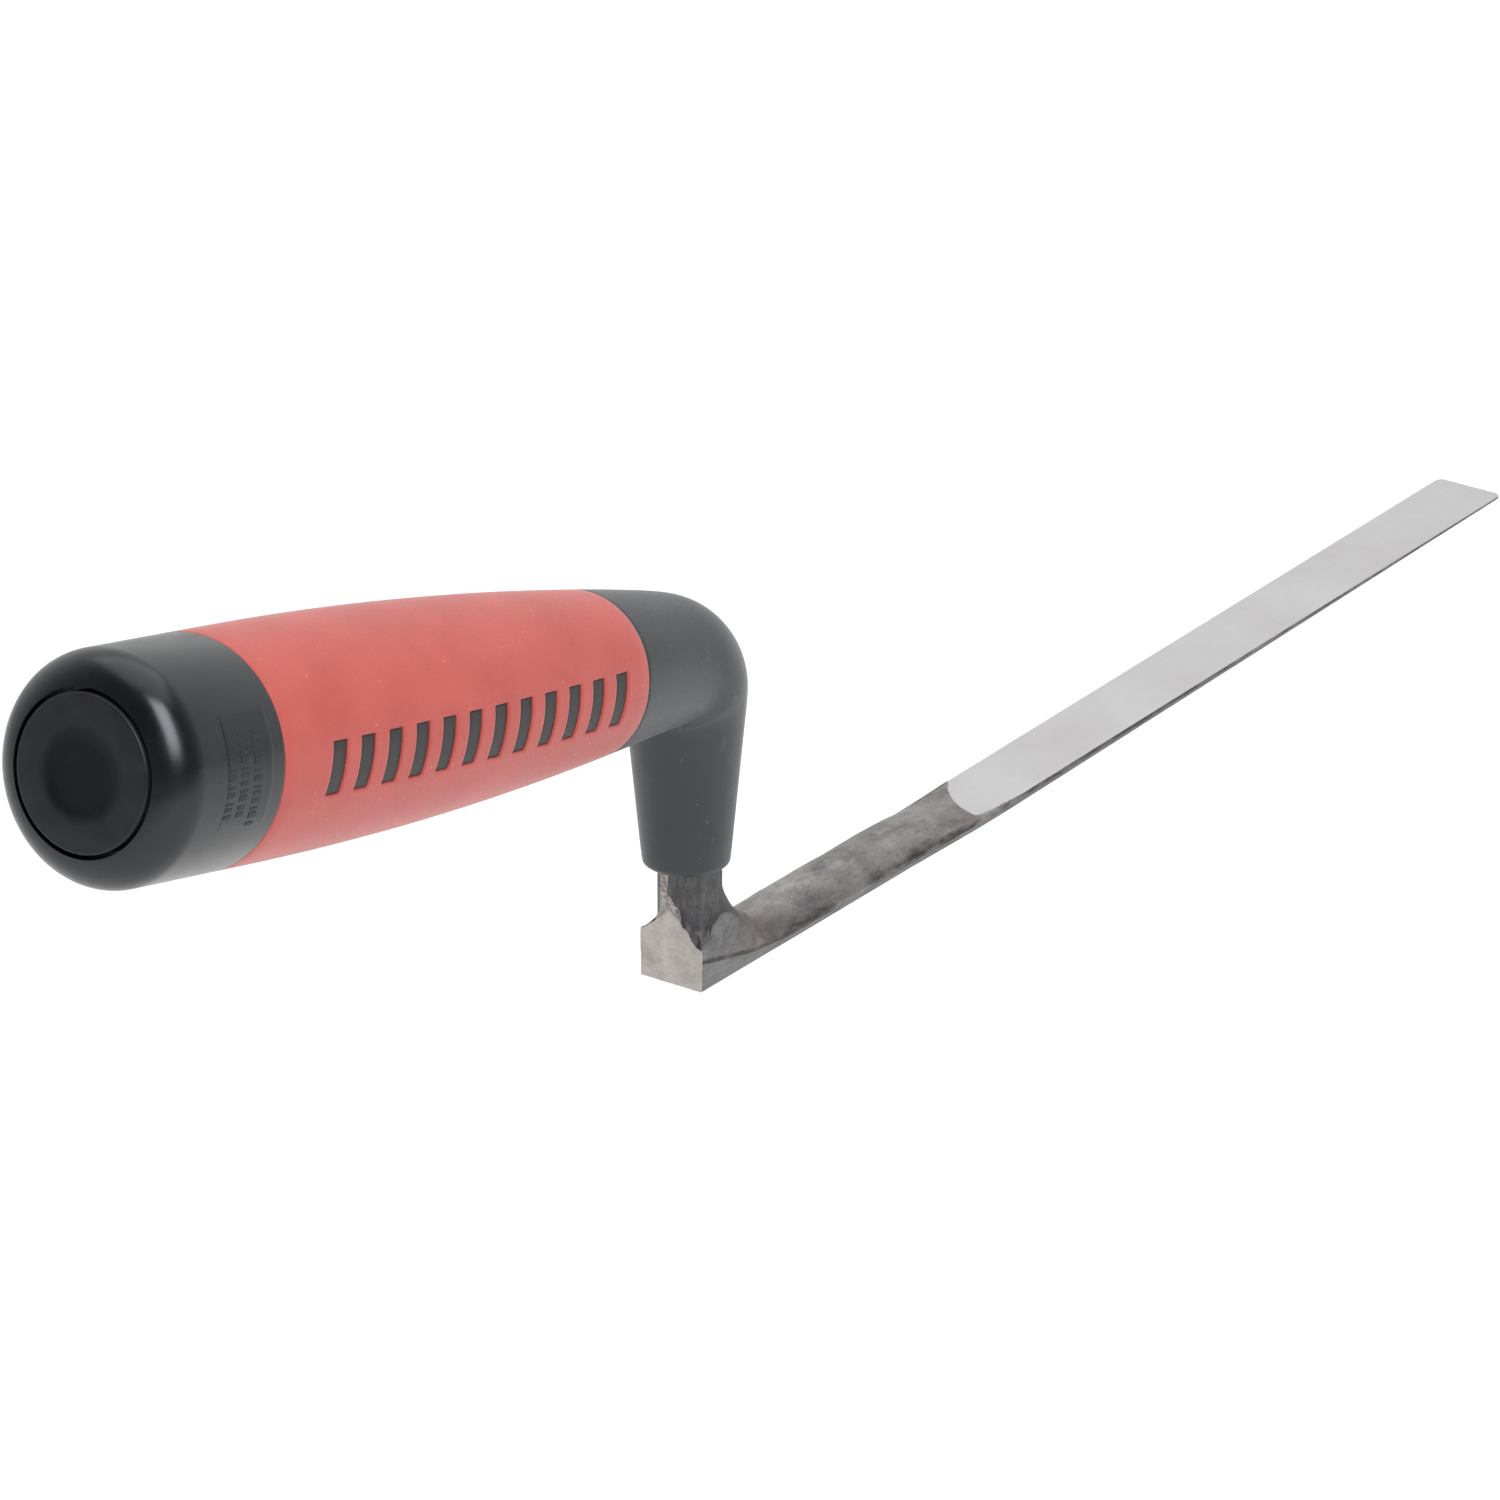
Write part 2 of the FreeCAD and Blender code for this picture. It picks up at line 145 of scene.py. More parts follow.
# Handle, measured along its own axis from the butt
PITCH = math.radians(12.87)
BUTT = Vector((-110.15, 0, 66.22))
AXIS = Vector((math.cos(PITCH), 0, -math.sin(PITCH)))
ABOVE = Vector((math.sin(PITCH), 0, math.cos(PITCH)))
RIGHT = Vector((0, -1, 0))
FRONT = Vector((1, 0, 0))
GRIP_R = 13.25
CAP_LENGTH = 18.5
TAPER_START = 25.0
TAPER_ARC_R = 645.0
GRIP_END = 91.8
SEAM_EDGE_R = 0.3
SLEEVE_THICKNESS = 2.2
SLEEVE_GAP = 0.05
REAR_SPIGOT_R = 10.4
FRONT_SPIGOT_R = 7.0
FRONT_SPIGOT_END = 101.8
CAP_WALL = 4.5
CAP_EDGE_R = 4.6
CAP_OVERHANG = 0.3
CAVITY_R = 7.6
CAVITY_END = 15.0
PLUG_R = 8.9
PLUG_SEAT_R = 9.4
PLUG_FACE = -0.45            # the plug's rim stands just proud of the cap's end
PLUG_EDGE_R = 0.32
PLUG_THICKNESS = 2.4
PLUG_END = 6.4
DISH_R = 6.0
DISH_FLOOR_R = 3.4
DISH_DEPTH = 0.13

# Marks that show through the grip
MARK_COUNT = 12
MARK_START = 27.0
MARK_PITCH = 5.2
MARK_WIDTH = 2.7
MARK_HEIGHT = 6.2
MARK_SLANT = math.radians(5)
MARK_RAISE = 0.2
MARK_RECESS = 0.22
MARK_GAP = 0.03
WINDOW_LIP = 0.2
WINDOW_BORDER = (0.5, 0.6)   # grid lines run this far outside the windows, along and across

# Faint panel on the cap with rows of fine ticks; turns are degrees above the right side
PANEL_S = (7.9, 16.6)
PANEL_TURNS = (-22, 40)
PANEL_RAISE = 0.025
PAD_DEPTH = 0.3
PAD_EDGE = ((-1.0, -0.16), (-0.97, -0.05), (-0.9, 0.0))   # (share of the half size, drop)
TICK_ROWS = ((9.0, 14, -13), (11.2, 26, -15), (13.6, 27, -20))
TICK_WIDTHS = (0.55, 0.3, 0.7, 0.4, 0.6, 0.25, 0.45)
TICK_GAP = 0.42
TICK_LENGTH = 1.3
TICK_RAISE = 0.07

# Elbow and neck
BARREL_END = 107.3
ELBOW_INNER_R = 0.4
FULL_TURN = 90 - math.degrees(PITCH)
# Radius by the degrees of turn left before the neck
ELBOW_RADII = ((0, 7.02), (10, 7.22), (20, 7.48), (32, 7.6), (45, 7.68), (60, 7.8), (FULL_TURN, 8.0))
CREASE_TURN = 20             # here the barrel steps down to the neck
CREASE_BEND = 0.7
CREASE_BEFORE, CREASE_AFTER = 14, 16
CREASE_SIDES = (math.radians(48), math.radians(98))   # it fades out towards the elbow's outside
BARREL_PROUD = 0.1
NECK_BOTTOM_Z = 13.95
NECK_BOTTOM_R = 5.1
NECK_EDGE_R = 1.15
ELBOW_RINGS = (12, 96)       # the rings that are eased into each other
EASE_ROUNDS = 90
END_LIFT = 0.62              # the neck's open end is cut this much higher at its right rear
END_LIFT_TOWARDS = (-0.81, -0.58)
END_LIFT_FADE = 4.0
BORE_R = 3.45
COLLAR_BORE_R = 3.9

# Mesh density
TOP_COLUMNS = 41
SIDE_LOW, SIDE_HIGH = 5, 9
HEEL_STATIONS = 46
HEEL_RINGS = 44
EVEN_SHARE = 0.55            # how far the rings round the shank are evened out
FINE_START, FINE_END = 52.0, 64.0
BAR_STEP, FINE_STEP = 0.5, 0.22
BLADE_STATIONS = 130
TIP_STATIONS = 9
SHANK_RINGS = 14
BEND_STEPS = 12
TURNED_STEPS = 128
BOOT_STEPS = 96
ELBOW_STEPS = 60
NECK_STEPS = 24
FILLET_STEPS = 6
CAP_EDGE_POINTS = 24
DISH_POINTS = 12
WINDOW_ROWS = 7
BACK_ROWS = 63
SLEEVE_STEP = 2.5
PAD_STEPS, PANEL_STEPS = 4, 16


# -------------------- mesh tools

def smoothstep(low, high, value):
    t = np.clip((value - low) / (high - low), 0, 1)
    return t * t * (3 - 2 * t)


def interpolated(table, x):
    """The value at x on the straight lines between a table's (x, value) pairs."""
    xs, values = zip(*table)
    return np.interp(x, xs, values)


def link(obj):
    bpy.context.scene.collection.objects.link(obj)
    return obj


def mesh_piece(name, points, faces, sharp_angle=SHARP_ANGLE):
    """A new object from points in millimetres: normals outward, smooth but for its sharp edges."""
    mesh = bpy.data.meshes.new(name)
    mesh.from_pydata([Vector(p) * MM for p in points], [], faces)
    obj = link(bpy.data.objects.new(name, mesh))
    tidy(obj, sharp_angle)
    return obj


def tidy(obj, sharp_angle):
    """Merges doubled points, drops loose ones, turns the normals outward and sets the sharp edges."""
    mesh = obj.data
    bm = bmesh.new()
    bm.from_mesh(mesh)
    bmesh.ops.remove_doubles(bm, verts=bm.verts, dist=1e-7)
    bmesh.ops.dissolve_degenerate(bm, edges=bm.edges, dist=1e-7)
    loose = [vertex for vertex in bm.verts if not vertex.link_faces]
    bmesh.ops.delete(bm, geom=loose, context="VERTS")
    bmesh.ops.recalc_face_normals(bm, faces=bm.faces)
    bm.to_mesh(mesh)
    bm.free()
    shade(mesh, sharp_angle)


def shade(mesh, sharp_angle):
    mesh.shade_smooth()
    mesh.set_sharp_from_angle(angle=math.radians(sharp_angle))


def apply_modifiers(obj):
    graph = bpy.context.evaluated_depsgraph_get()
    obj.data = bpy.data.meshes.new_from_object(obj.evaluated_get(graph))
    obj.modifiers.clear()


def joined(first, others):
    """Joins separate closed meshes into one object."""
    bm = bmesh.new()
    for obj in [first] + others:
        bm.from_mesh(obj.data)
    bm.to_mesh(first.data)
    bm.free()
    for obj in others:
        bpy.data.objects.remove(obj)
    shade(first.data, SHARP_ANGLE)
    return first


def grid_faces(rows, columns):
    """Quads over an open grid of points."""
    return [
        (i * columns + j, i * columns + j + 1, (i + 1) * columns + j + 1, (i + 1) * columns + j)
        for i in range(rows - 1)
        for j in range(columns - 1)
    ]


def torus_faces(rings, steps):
    """Quads between closed rings of points, and from the last ring to the first."""
    faces = []
    for i in range(rings):
        a, b = i * steps, (i + 1) % rings * steps
        for j in range(steps):
            k = (j + 1) % steps
            faces.append((a + j, a + k, b + k, b + j))
    return faces


def filleted(corners):
    """Rounds each (s, r, radius) corner of a closed outline whose fillet radius isn't zero."""
    outline = []
    count = len(corners)
    for i, (s, r, radius) in enumerate(corners):
        here = Vector((s, r))
        if radius == 0:
            outline.append(here)
            continue
        before = (Vector(corners[i - 1][:2]) - here).normalized()
        after = (Vector(corners[(i + 1) % count][:2]) - here).normalized()
        half = before.angle(after) / 2
        centre = here + (before + after).normalized() * (radius / math.sin(half))
        start = here + before * (radius / math.tan(half)) - centre
        end = here + after * (radius / math.tan(half)) - centre
        sweep = math.pi - 2 * half
        for k in range(FILLET_STEPS + 1):
            t = k / FILLET_STEPS
            a = math.sin((1 - t) * sweep) / math.sin(sweep)
            b = math.sin(t * sweep) / math.sin(sweep)
            outline.append(centre + start * a + end * b)
    return outline


def handle_point(s, r=0.0, angle=0.0):
    """A point of the handle: s along its axis, r from it, angle upward from its right side."""
    return BUTT + AXIS * s + (RIGHT * math.cos(angle) + ABOVE * math.sin(angle)) * r


def turned(name, corners):
    """A solid of revolution about the handle's axis, from a closed outline of (s, r, fillet)."""
    outline = filleted(corners)
    points = [
        handle_point(s, max(r, 0.0), 2 * math.pi * j / TURNED_STEPS)
        for s, r in outline
        for j in range(TURNED_STEPS)
    ]
    return mesh_piece(name, points, torus_faces(len(outline), TURNED_STEPS))


def outer_r(s):
    """The handle's radius at s: straight, then a long arc that narrows to the elbow."""
    beyond = max(0.0, s - TAPER_START)
    return GRIP_R - beyond ** 2 / (2 * TAPER_ARC_R)


# -------------------- forging

def sole_z(x):
    return np.maximum(0.0, (x - BEND_X) / (TIP_X - BEND_X)) * TIP_RISE


def half_width(x):
    return interpolated(HALF_WIDTHS, x)


def drawn_down(x):
    """0 on the plain bar, 1 where the ground blade starts."""
    t = np.clip((x - BAR_TAPER_X) / (BLADE_ROOT_X - BAR_TAPER_X), 0, 1)
    return (1 - np.cos(math.pi * t)) / 2


def blade_thickness(x):
    t = np.clip((x - BLADE_ROOT_X) / (TIP_X - BLADE_ROOT_X), 0, 1)
    return BLADE_ROOT_THICKNESS + t * (TIP_THICKNESS - BLADE_ROOT_THICKNESS)


def side_height(x):
    bar = BAR_SIDE_HEIGHT + drawn_down(x) * (BLADE_ROOT_THICKNESS - TOP_CHAMFER - BAR_SIDE_HEIGHT)
    return np.where(x > BLADE_ROOT_X, blade_thickness(x) - TOP_CHAMFER, bar)


def crown_height(x):
    bar = BAR_CROWN_HEIGHT + drawn_down(x) * (BLADE_ROOT_THICKNESS - BAR_CROWN_HEIGHT)
    return np.where(x > BLADE_ROOT_X, blade_thickness(x), bar)


def rough(x, y, size, seed):
    """Repeatable noise in -1..1 over the plan, with the given feature size."""
    shift = Vector((seed * 17.3, seed * 5.1, seed * 9.7))
    return np.array([
        noise.noise(Vector((px, py, 0.0)) / size + shift)
        for px, py in zip(np.ravel(x), np.ravel(y))
    ]).reshape(np.shape(x))


def ground_face_inside(x, y):
    """Distance inside the ground top face of the blade; negative on the forged skin behind it."""
    lean = 2 * GROUND_END_CURVE * (y - GROUND_END_Y)
    end_x = GROUND_END_X + GROUND_END_CURVE * (y - GROUND_END_Y) ** 2
    from_end = (x - end_x) / np.sqrt(1 + lean ** 2)
    return np.minimum(from_end, y - interpolated(GROUND_RIGHT_EDGE, x))


def bar_top_z(x, y):
    """Height of the bar's or blade's top above the sole plane."""
    w = half_width(x)
    side = side_height(x)
    rise = crown_height(x) - side
    radius = (w ** 2 + rise ** 2) / (2 * np.maximum(rise, 1e-6))
    arc = np.sqrt(np.maximum(radius ** 2 - y ** 2, 0)) - radius + rise
    chamfer = TOP_CHAMFER * smoothstep(0, TOP_CHAMFER_WIDTH, w - np.abs(y)) - TOP_CHAMFER
    ground = blade_thickness(x) + chamfer
    wave = sum(height * rough(x, y, size, seed) for height, size, seed in BAR_WAVES)
    settle = smoothstep(0, SKIN_SETTLES, w - np.abs(y))
    skin = np.where(x > BLADE_ROOT_X, ground, side + arc) + wave * settle + SKIN_PROUD
    cut = smoothstep(-GROUND_EDGE_SOFTNESS, GROUND_EDGE_SOFTNESS, ground_face_inside(x, y))
    return sole_z(x) + skin + cut * (ground - skin)


def flare_z(x, y):
    """Height of the hollow flare round the shank's foot, which leans forward; found by halving."""
    def leftover(z):
        centre = SHANK_X + np.tan(FLARE_LEAN) * (FLARE_TOP_Z - z)
        out = np.hypot(x - centre, y)
        inward = np.sqrt(np.maximum(FLARE_FILLET_R ** 2 - (FLARE_TOP_Z - z) ** 2, 0))
        return out - (SHANK_R + FLARE_FILLET_R - inward)

    foot_z = FLARE_TOP_Z - FLARE_FILLET_R
    low = np.full_like(x, foot_z)
    high = np.full_like(x, FLARE_TOP_Z)
    outside = leftover(low) > 0
    for _ in range(HALVINGS):
        middle = (low + high) / 2
        above = leftover(middle) > 0
        high = np.where(above, middle, high)
        low = np.where(above, low, middle)
    beyond = np.maximum(np.hypot(x - FLARE_FOOT_X, y) - FLARE_FOOT_R, 0)
    return np.where(outside, foot_z - FLARE_FALL * beyond, (low + high) / 2)


def smooth_max(a, b, width):
    t = np.clip(0.5 + (a - b) / (2 * width), 0, 1)
    return a * t + b * (1 - t) + width * t * (1 - t)


def smooth_min(a, b, width):
    return -smooth_max(-a, -b, width)


def past_nose(x, y):
    """How far a point lies in front of the heel's rounded nose."""
    ahead = np.maximum(x - HEEL_NOSE_X, 0) / HEEL_NOSE_LENGTH
    beyond = np.maximum(np.hypot(ahead, y / HEEL_HALF_WIDTH) - NOSE_START, 0) * HEEL_NOSE_LENGTH
    return beyond * smoothstep(*NOSE_FADE, x)


def sloping_cut(x, y, height, along, across, from_y, upturn, upturn_width):
    out = np.hypot(x - SHANK_X, y) - SHANK_R
    return height + along * (x - REAR_X) + across * (y - from_y) + upturn * np.exp(-out / upturn_width)


def heel_top_z(x, y):
    """The flare, cut lower on the left, with a hollow beside the rear face's right edge."""
    flare = flare_z(x, y) - past_nose(x, y)
    left = sloping_cut(x, y, *LEFT_CUT)
    hollow = sloping_cut(x, y, *HOLLOW_CUT) + HOLLOW_RUNOUT * smoothstep(*HOLLOW_END, x)
    top = smooth_min(smooth_min(flare, left, LEFT_BLEND), hollow, HOLLOW_BLEND)
    height, size, seed = HEEL_WAVE
    jag = JAG_HEIGHT + REAR_JAG_HEIGHT * smoothstep(*REAR_JAG_X, x) * smoothstep(*REAR_JAG_Y, y)
    wave = height * rough(x, y, size, seed) + jag * rough(x, y, JAG_SIZE, JAG_SEED)
    foot = smoothstep(FLARE_TOP_Z + 0.3, FLARE_TOP_Z - 2.0, top)
    return smooth_max(top + wave * foot, bar_top_z(x, y), HEEL_BLEND)


TOP, SIDE, REAR, SOLE, TIP, SHANK, TANG = range(7)


class Forging:
    """Collects the forging's points and faces, patch by patch, with what each face belongs to."""

    def __init__(self):
        self.points = []
        self.faces = []
        self.parts = []

    def patch(self, grid, part):
        """Quads over a grid of points, rows by columns."""
        first = len(self.points)
        self.points.extend(map(tuple, grid.reshape(-1, 3)))
        for face in grid_faces(*grid.shape[:2]):
            self.faces.append(tuple(first + corner for corner in face))
            self.parts.append(part)

    def fan(self, ring, centre, part):
        first = len(self.points)
        self.points.extend(map(tuple, ring))
        self.points.append(tuple(centre))
        for j in range(len(ring)):
            self.faces.append((first + j, first + (j + 1) % len(ring), first + len(ring)))
            self.parts.append(part)


def side_column(x, sign, top_z):
    """Points down one side at x: forged skin, a small ledge, then the polished strip."""
    foot = sole_z(x)
    strip = min(interpolated(STRIP_HEIGHTS, x), (top_z - foot) * STRIP_SHARE) + foot
    w = float(half_width(x))
    ledge = LEDGE * float(smoothstep(*LEDGE_FADE, top_z - foot))
    upper = np.linspace(top_z, strip + LEDGE_ABOVE, SIDE_HIGH)
    lower = np.linspace(strip - LEDGE_BELOW, foot + ARRIS, SIDE_LOW)
    upper_y = np.full(SIDE_HIGH, w)
    upper_y[1:] += ledge
    column = [(x, sign * y, z) for y, z in zip(upper_y, upper)]
    column += [(x, sign * w, z) for z in lower]
    column.append((x, sign * (w - ARRIS), foot))
    return column


def tip_inset(x, y):
    """Plan rounding of the tip's corners."""
    w = float(half_width(x))
    ahead = max(0.0, x - (TIP_X - TIP_CORNER_R))
    limit = w - TIP_CORNER_R + math.sqrt(max(TIP_CORNER_R ** 2 - ahead ** 2, 0.0))
    return y * limit / w


def top_columns(x):
    """Crosswise places on top, closer together towards the edges."""
    t = np.sin(np.linspace(math.pi / 2, -math.pi / 2, TOP_COLUMNS))
    return t * half_width(x)


def length_stations():
    """Lengthwise places: close on the bar and round its ground end, wider along the blade."""
    bar = np.arange(HEEL_FRONT_X, FINE_START, BAR_STEP)
    turn = np.arange(FINE_START, FINE_END, FINE_STEP)
    corner_start = TIP_X - TIP_CORNER_R
    blade = np.linspace(FINE_END, corner_start, BLADE_STATIONS)
    corner = corner_start + TIP_CORNER_R * np.sin(np.linspace(0.12, math.pi / 2 * 0.985, TIP_STATIONS))
    return np.concatenate([bar, turn, blade, corner])


def add_bar_and_blade(forging):
    tops, lefts, rights, soles = [], [], [], []
    for x in length_stations():
        y = top_columns(x)
        z = bar_top_z(np.full_like(y, x), y)
        top = np.column_stack([np.full_like(y, x), y, z])
        left = np.array(side_column(x, 1, z[0]))
        right = np.array(side_column(x, -1, z[-1]))
        across = np.linspace(left[-1][1], right[-1][1], TOP_COLUMNS)
        sole = np.column_stack([np.full_like(across, x), across, np.full_like(across, sole_z(x))])
        for rows, row in ((tops, top), (lefts, left), (rights, right), (soles, sole)):
            row[:, 1] = [tip_inset(x, v) for v in row[:, 1]]
            rows.append(row)
    for rows, part in ((tops, TOP), (lefts, SIDE), (rights, SIDE), (soles, SOLE)):
        forging.patch(np.array(rows), part)
    end = np.concatenate([tops[-1], rights[-1][1:], soles[-1][::-1][1:], lefts[-1][::-1][1:-1]])
    forging.fan(end, end.mean(0), TIP)


def heel_loop():
    """The heel's outline in plan, anticlockwise from the front right, as its four sides."""
    side_x = np.linspace(HEEL_FRONT_X, REAR_X + ARRIS, HEEL_STATIONS)
    front = [(HEEL_FRONT_X, y) for y in top_columns(HEEL_FRONT_X)[::-1]]
    left = [(x, float(half_width(x))) for x in side_x[1:]]
    rear_half = float(half_width(REAR_X)) - ARRIS
    rear = [(REAR_X, y) for y in np.linspace(rear_half, -rear_half, TOP_COLUMNS)]
    right = [(x, -y) for x, y in left[::-1]]
    return front, left, rear, right


def add_heel(forging):
    """The heel from the shank out to its outline and down to the sole; returns its ring's angles."""
    front, left, rear, right = heel_loop()
    loop = np.array(front + left + rear + right)
    angles = np.unwrap(np.arctan2(loop[:, 1], loop[:, 0] - SHANK_X))
    even = np.linspace(angles[0], angles[0] + 2 * math.pi, len(loop) + 1)[:-1]
    angles = (1 - EVEN_SHARE) * angles + EVEN_SHARE * even
    inner = np.column_stack([SHANK_X + SHANK_R * np.cos(angles), SHANK_R * np.sin(angles)])
    fractions = 1 - np.cos(np.linspace(0, math.pi / 2, HEEL_RINGS))
    plan = inner[None] + fractions[:, None, None] * (loop - inner)[None]
    x, y = plan[..., 0], plan[..., 1]
    z = heel_top_z(x, y)
    z[0] = FLARE_TOP_Z
    z[-1, :TOP_COLUMNS] = bar_top_z(x[-1, :TOP_COLUMNS], y[-1, :TOP_COLUMNS])
    top = np.dstack([x, y, z])
    forging.patch(np.concatenate([top, top[:, :1]], axis=1), TOP)

    edge = list(zip(loop[:, 0], loop[:, 1], z[-1]))
    left_start, rear_start = len(front), len(front) + len(left)
    right_start = rear_start + len(rear)
    left_edge = edge[left_start - 1:rear_start]
    right_edge = edge[right_start:] + edge[:1]
    left_columns = [side_column(px, 1, pz) for px, _, pz in left_edge]
    right_columns = [side_column(px, -1, pz) for px, _, pz in right_edge]
    rear_columns = [rear_column(*place) for place in edge[rear_start:right_start]]
    forging.patch(np.array(left_columns), SIDE)
    forging.patch(np.array(right_columns), SIDE)
    forging.patch(np.array([left_columns[-1], rear_columns[0]]), REAR)
    forging.patch(np.array(rear_columns), REAR)
    forging.patch(np.array([rear_columns[-1], right_columns[0]]), REAR)
    add_heel_sole(forging, left_columns, right_columns[::-1], rear_columns)
    return angles


def rear_column(x, y, top_z):
    """Points down the rear face, with a chamfer to the sole."""
    column = [(x, y, z) for z in np.linspace(top_z, ARRIS, SIDE_LOW + SIDE_HIGH)]
    column.append((x + ARRIS, y, 0.0))
    return column


def add_heel_sole(forging, left_columns, right_columns, rear_columns):
    rows = []
    for left, right in zip(left_columns, right_columns):
        across = np.linspace(left[-1][1], right[-1][1], TOP_COLUMNS)
        rows.append([(left[-1][0], y, 0.0) for y in across])
    rows.append([column[-1] for column in rear_columns])
    forging.patch(np.array(rows), SOLE)


def tang_bend():
    """The tang's bend: its pivot, the angle it turns through, and its end along the handle."""
    corner_s = (SHANK_X - BUTT.x) / math.cos(PITCH)
    turn = math.pi / 2 - PITCH
    setback = TANG_BEND_R * math.tan(turn / 2)
    pivot = Vector((SHANK_X - TANG_BEND_R, 0, handle_point(corner_s).z - setback))
    return pivot, turn, corner_s - setback


def bend_outward(turn):
    """The direction away from the inside of a bend that has turned back by this angle."""
    return Vector((math.cos(turn), 0, math.sin(turn)))


def add_shank_and_tang(forging, angles):
    """The round shank above the flare, and the tang that bends back through the handle."""
    pivot, turn, bend_end = tang_bend()
    rings = []

    def ring(centre, forward, radius):
        """A ring whose front has turned from straight ahead to the given direction."""
        rings.append([
            tuple(centre + (forward * math.cos(a) - RIGHT * math.sin(a)) * radius) for a in angles
        ])

    for z in np.linspace(FLARE_TOP_Z, TANG_SHOULDER_Z, SHANK_RINGS):
        ring(Vector((SHANK_X, 0, z)), FRONT, SHANK_R)
    ring(Vector((SHANK_X, 0, TANG_SHOULDER_Z + 0.01)), FRONT, TANG_R)
    for step in range(BEND_STEPS + 1):
        outward = bend_outward(turn * step / BEND_STEPS)
        ring(pivot + outward * TANG_BEND_R, outward, TANG_R)
    for s in np.linspace(bend_end, THREAD_START, 8)[1:]:
        ring(handle_point(s), ABOVE, TANG_R)
    for s in (THREAD_START, THREAD_END):
        ring(handle_point(s), ABOVE, THREAD_R)
    rings = np.array(rings)
    closed = np.concatenate([rings, rings[:, :1]], axis=1)
    forging.patch(closed[:SHANK_RINGS], SHANK)
    forging.patch(closed[SHANK_RINGS - 1:], TANG)
    forging.fan(rings[-1], handle_point(THREAD_END), TANG)


def filed_strip_inside(x, y, z):
    """Distance inside the filed strip on the back of the shank."""
    inside = np.minimum(y - interpolated(FILED_RIGHT, z), interpolated(FILED_LEFT, z) - y)
    return np.where((x < FILED_BEHIND_X) & (z > FILED_FROM_Z), inside, NOT_GROUND)


def ground_inside(part, x, y, z, above_strip):
    """Distance inside the ground steel, negative on the forged skin."""
    filed = filed_strip_inside(x, y, z)
    on_top = np.where(x > HEEL_TOP_END_X, ground_face_inside(x, y), filed)
    return np.select(
        [part == TOP, part == SIDE, part == SHANK, part == TANG],
        [on_top, -above_strip, filed, np.full(len(x), NOT_GROUND)],
        1.0,
    )


def band_height(part, x, y, above_strip):
    """Height above the polished strip, carried on over the bar's edge onto its top."""
    over_edge = side_height(x) - interpolated(STRIP_HEIGHTS, x)
    over_edge = over_edge + BAND_EDGE_SLOPE * (half_width(x) - np.abs(y))
    over_edge = over_edge + BAND_HEEL_SLOPE * np.maximum(0, BAND_HEEL_X - x)
    on_top = np.where((part == TOP) & (x > BAND_START_X), over_edge, NO_BAND)
    return np.where(part == SIDE, above_strip, on_top)


def forging_marks_and_shade(part, x, y, z):
    """What the steel's shader reads at each face corner."""
    top = part == TOP
    side = part == SIDE
    above_strip = z - sole_z(x) - interpolated(STRIP_HEIGHTS, x)
    on_stem = (top & (x < STEM_END_X)) | (part == SHANK)
    # The pocket beside the rear face gets painted shade: the deeper it lies below the flare, the darker
    in_pocket = top & (x < POCKET_X) & (y < POCKET_Y)
    from_scorch = np.hypot((x - SCORCH_X) / SCORCH_LENGTH, (y - SCORCH_Y) / SCORCH_WIDTH)
    return {
        "ground": ground_inside(part, x, y, z, above_strip),
        "band": band_height(part, x, y, above_strip),
        "rear": (part == REAR) | (part == SHANK) | (top & (x < HEEL_TOP_END_X)),
        "flank": side | (part == SOLE) | (part == TIP),
        "cheek": np.where(side, CHEEK_END_X - x, -CHEEK_END_X),
        "stem": np.where(on_stem, z + STEM_REAR_LIFT * smoothstep(*STEM_REAR_X, x), 0.0),
        "pocket_shade": np.where(in_pocket, flare_z(x, y) - z, 0.0),
        "scorch": np.where(top | side, 1 - from_scorch, -1.0),
    }


def paint_forging(mesh, parts, points_mm):
    corner = np.zeros(len(mesh.loops), np.int32)
    mesh.loops.foreach_get("vertex_index", corner)
    part = np.repeat(parts, [face.loop_total for face in mesh.polygons])
    for name, values in forging_marks_and_shade(part, *points_mm[corner].T).items():
        layer = mesh.attributes.new(name, "FLOAT", "CORNER")
        layer.data.foreach_set("value", values.astype(np.float32))


def make_forging():
    forging = Forging()
    add_bar_and_blade(forging)
    angles = add_heel(forging)
    add_shank_and_tang(forging, angles)
    mesh = bpy.data.meshes.new("forging")
    mesh.from_pydata([Vector(p) * MM for p in forging.points], [], forging.faces)
    paint_forging(mesh, forging.parts, np.array(forging.points))
    obj = link(bpy.data.objects.new("forging", mesh))
    tidy(obj, sharp_angle=32)
    return obj


# -------------------- handle pieces

def cap_edge_points():
    """The cap's quarter-round end, from the lip round the plug out to the side."""
    centre_s = CAP_EDGE_R - CAP_OVERHANG
    centre_r = GRIP_R - CAP_EDGE_R
    first = math.asin((PLUG_SEAT_R - centre_r) / CAP_EDGE_R)
    return [
        (centre_s - CAP_EDGE_R * math.cos(a), centre_r + CAP_EDGE_R * math.sin(a), 0)
        for a in np.linspace(first, math.pi / 2, CAP_EDGE_POINTS)
    ]


def make_cap():
    return turned("cap_shell", [
        *cap_edge_points(),
        (CAP_LENGTH, GRIP_R, SEAM_EDGE_R),
        (CAP_LENGTH, REAR_SPIGOT_R, 0),
        (CAP_WALL, REAR_SPIGOT_R, 0),
        (CAP_WALL, CAVITY_R, 0),
        (PLUG_THICKNESS, CAVITY_R, 0),
        (PLUG_THICKNESS, PLUG_SEAT_R, 0),
    ])


def dish_points():
    """The soft slope from the dish's floor out to the plug's flat rim."""
    return [
        (PLUG_FACE + DISH_DEPTH * float(smoothstep(1, 0, t)), DISH_FLOOR_R + (DISH_R - DISH_FLOOR_R) * t, 0)
        for t in np.linspace(0, 1, DISH_POINTS)
    ]


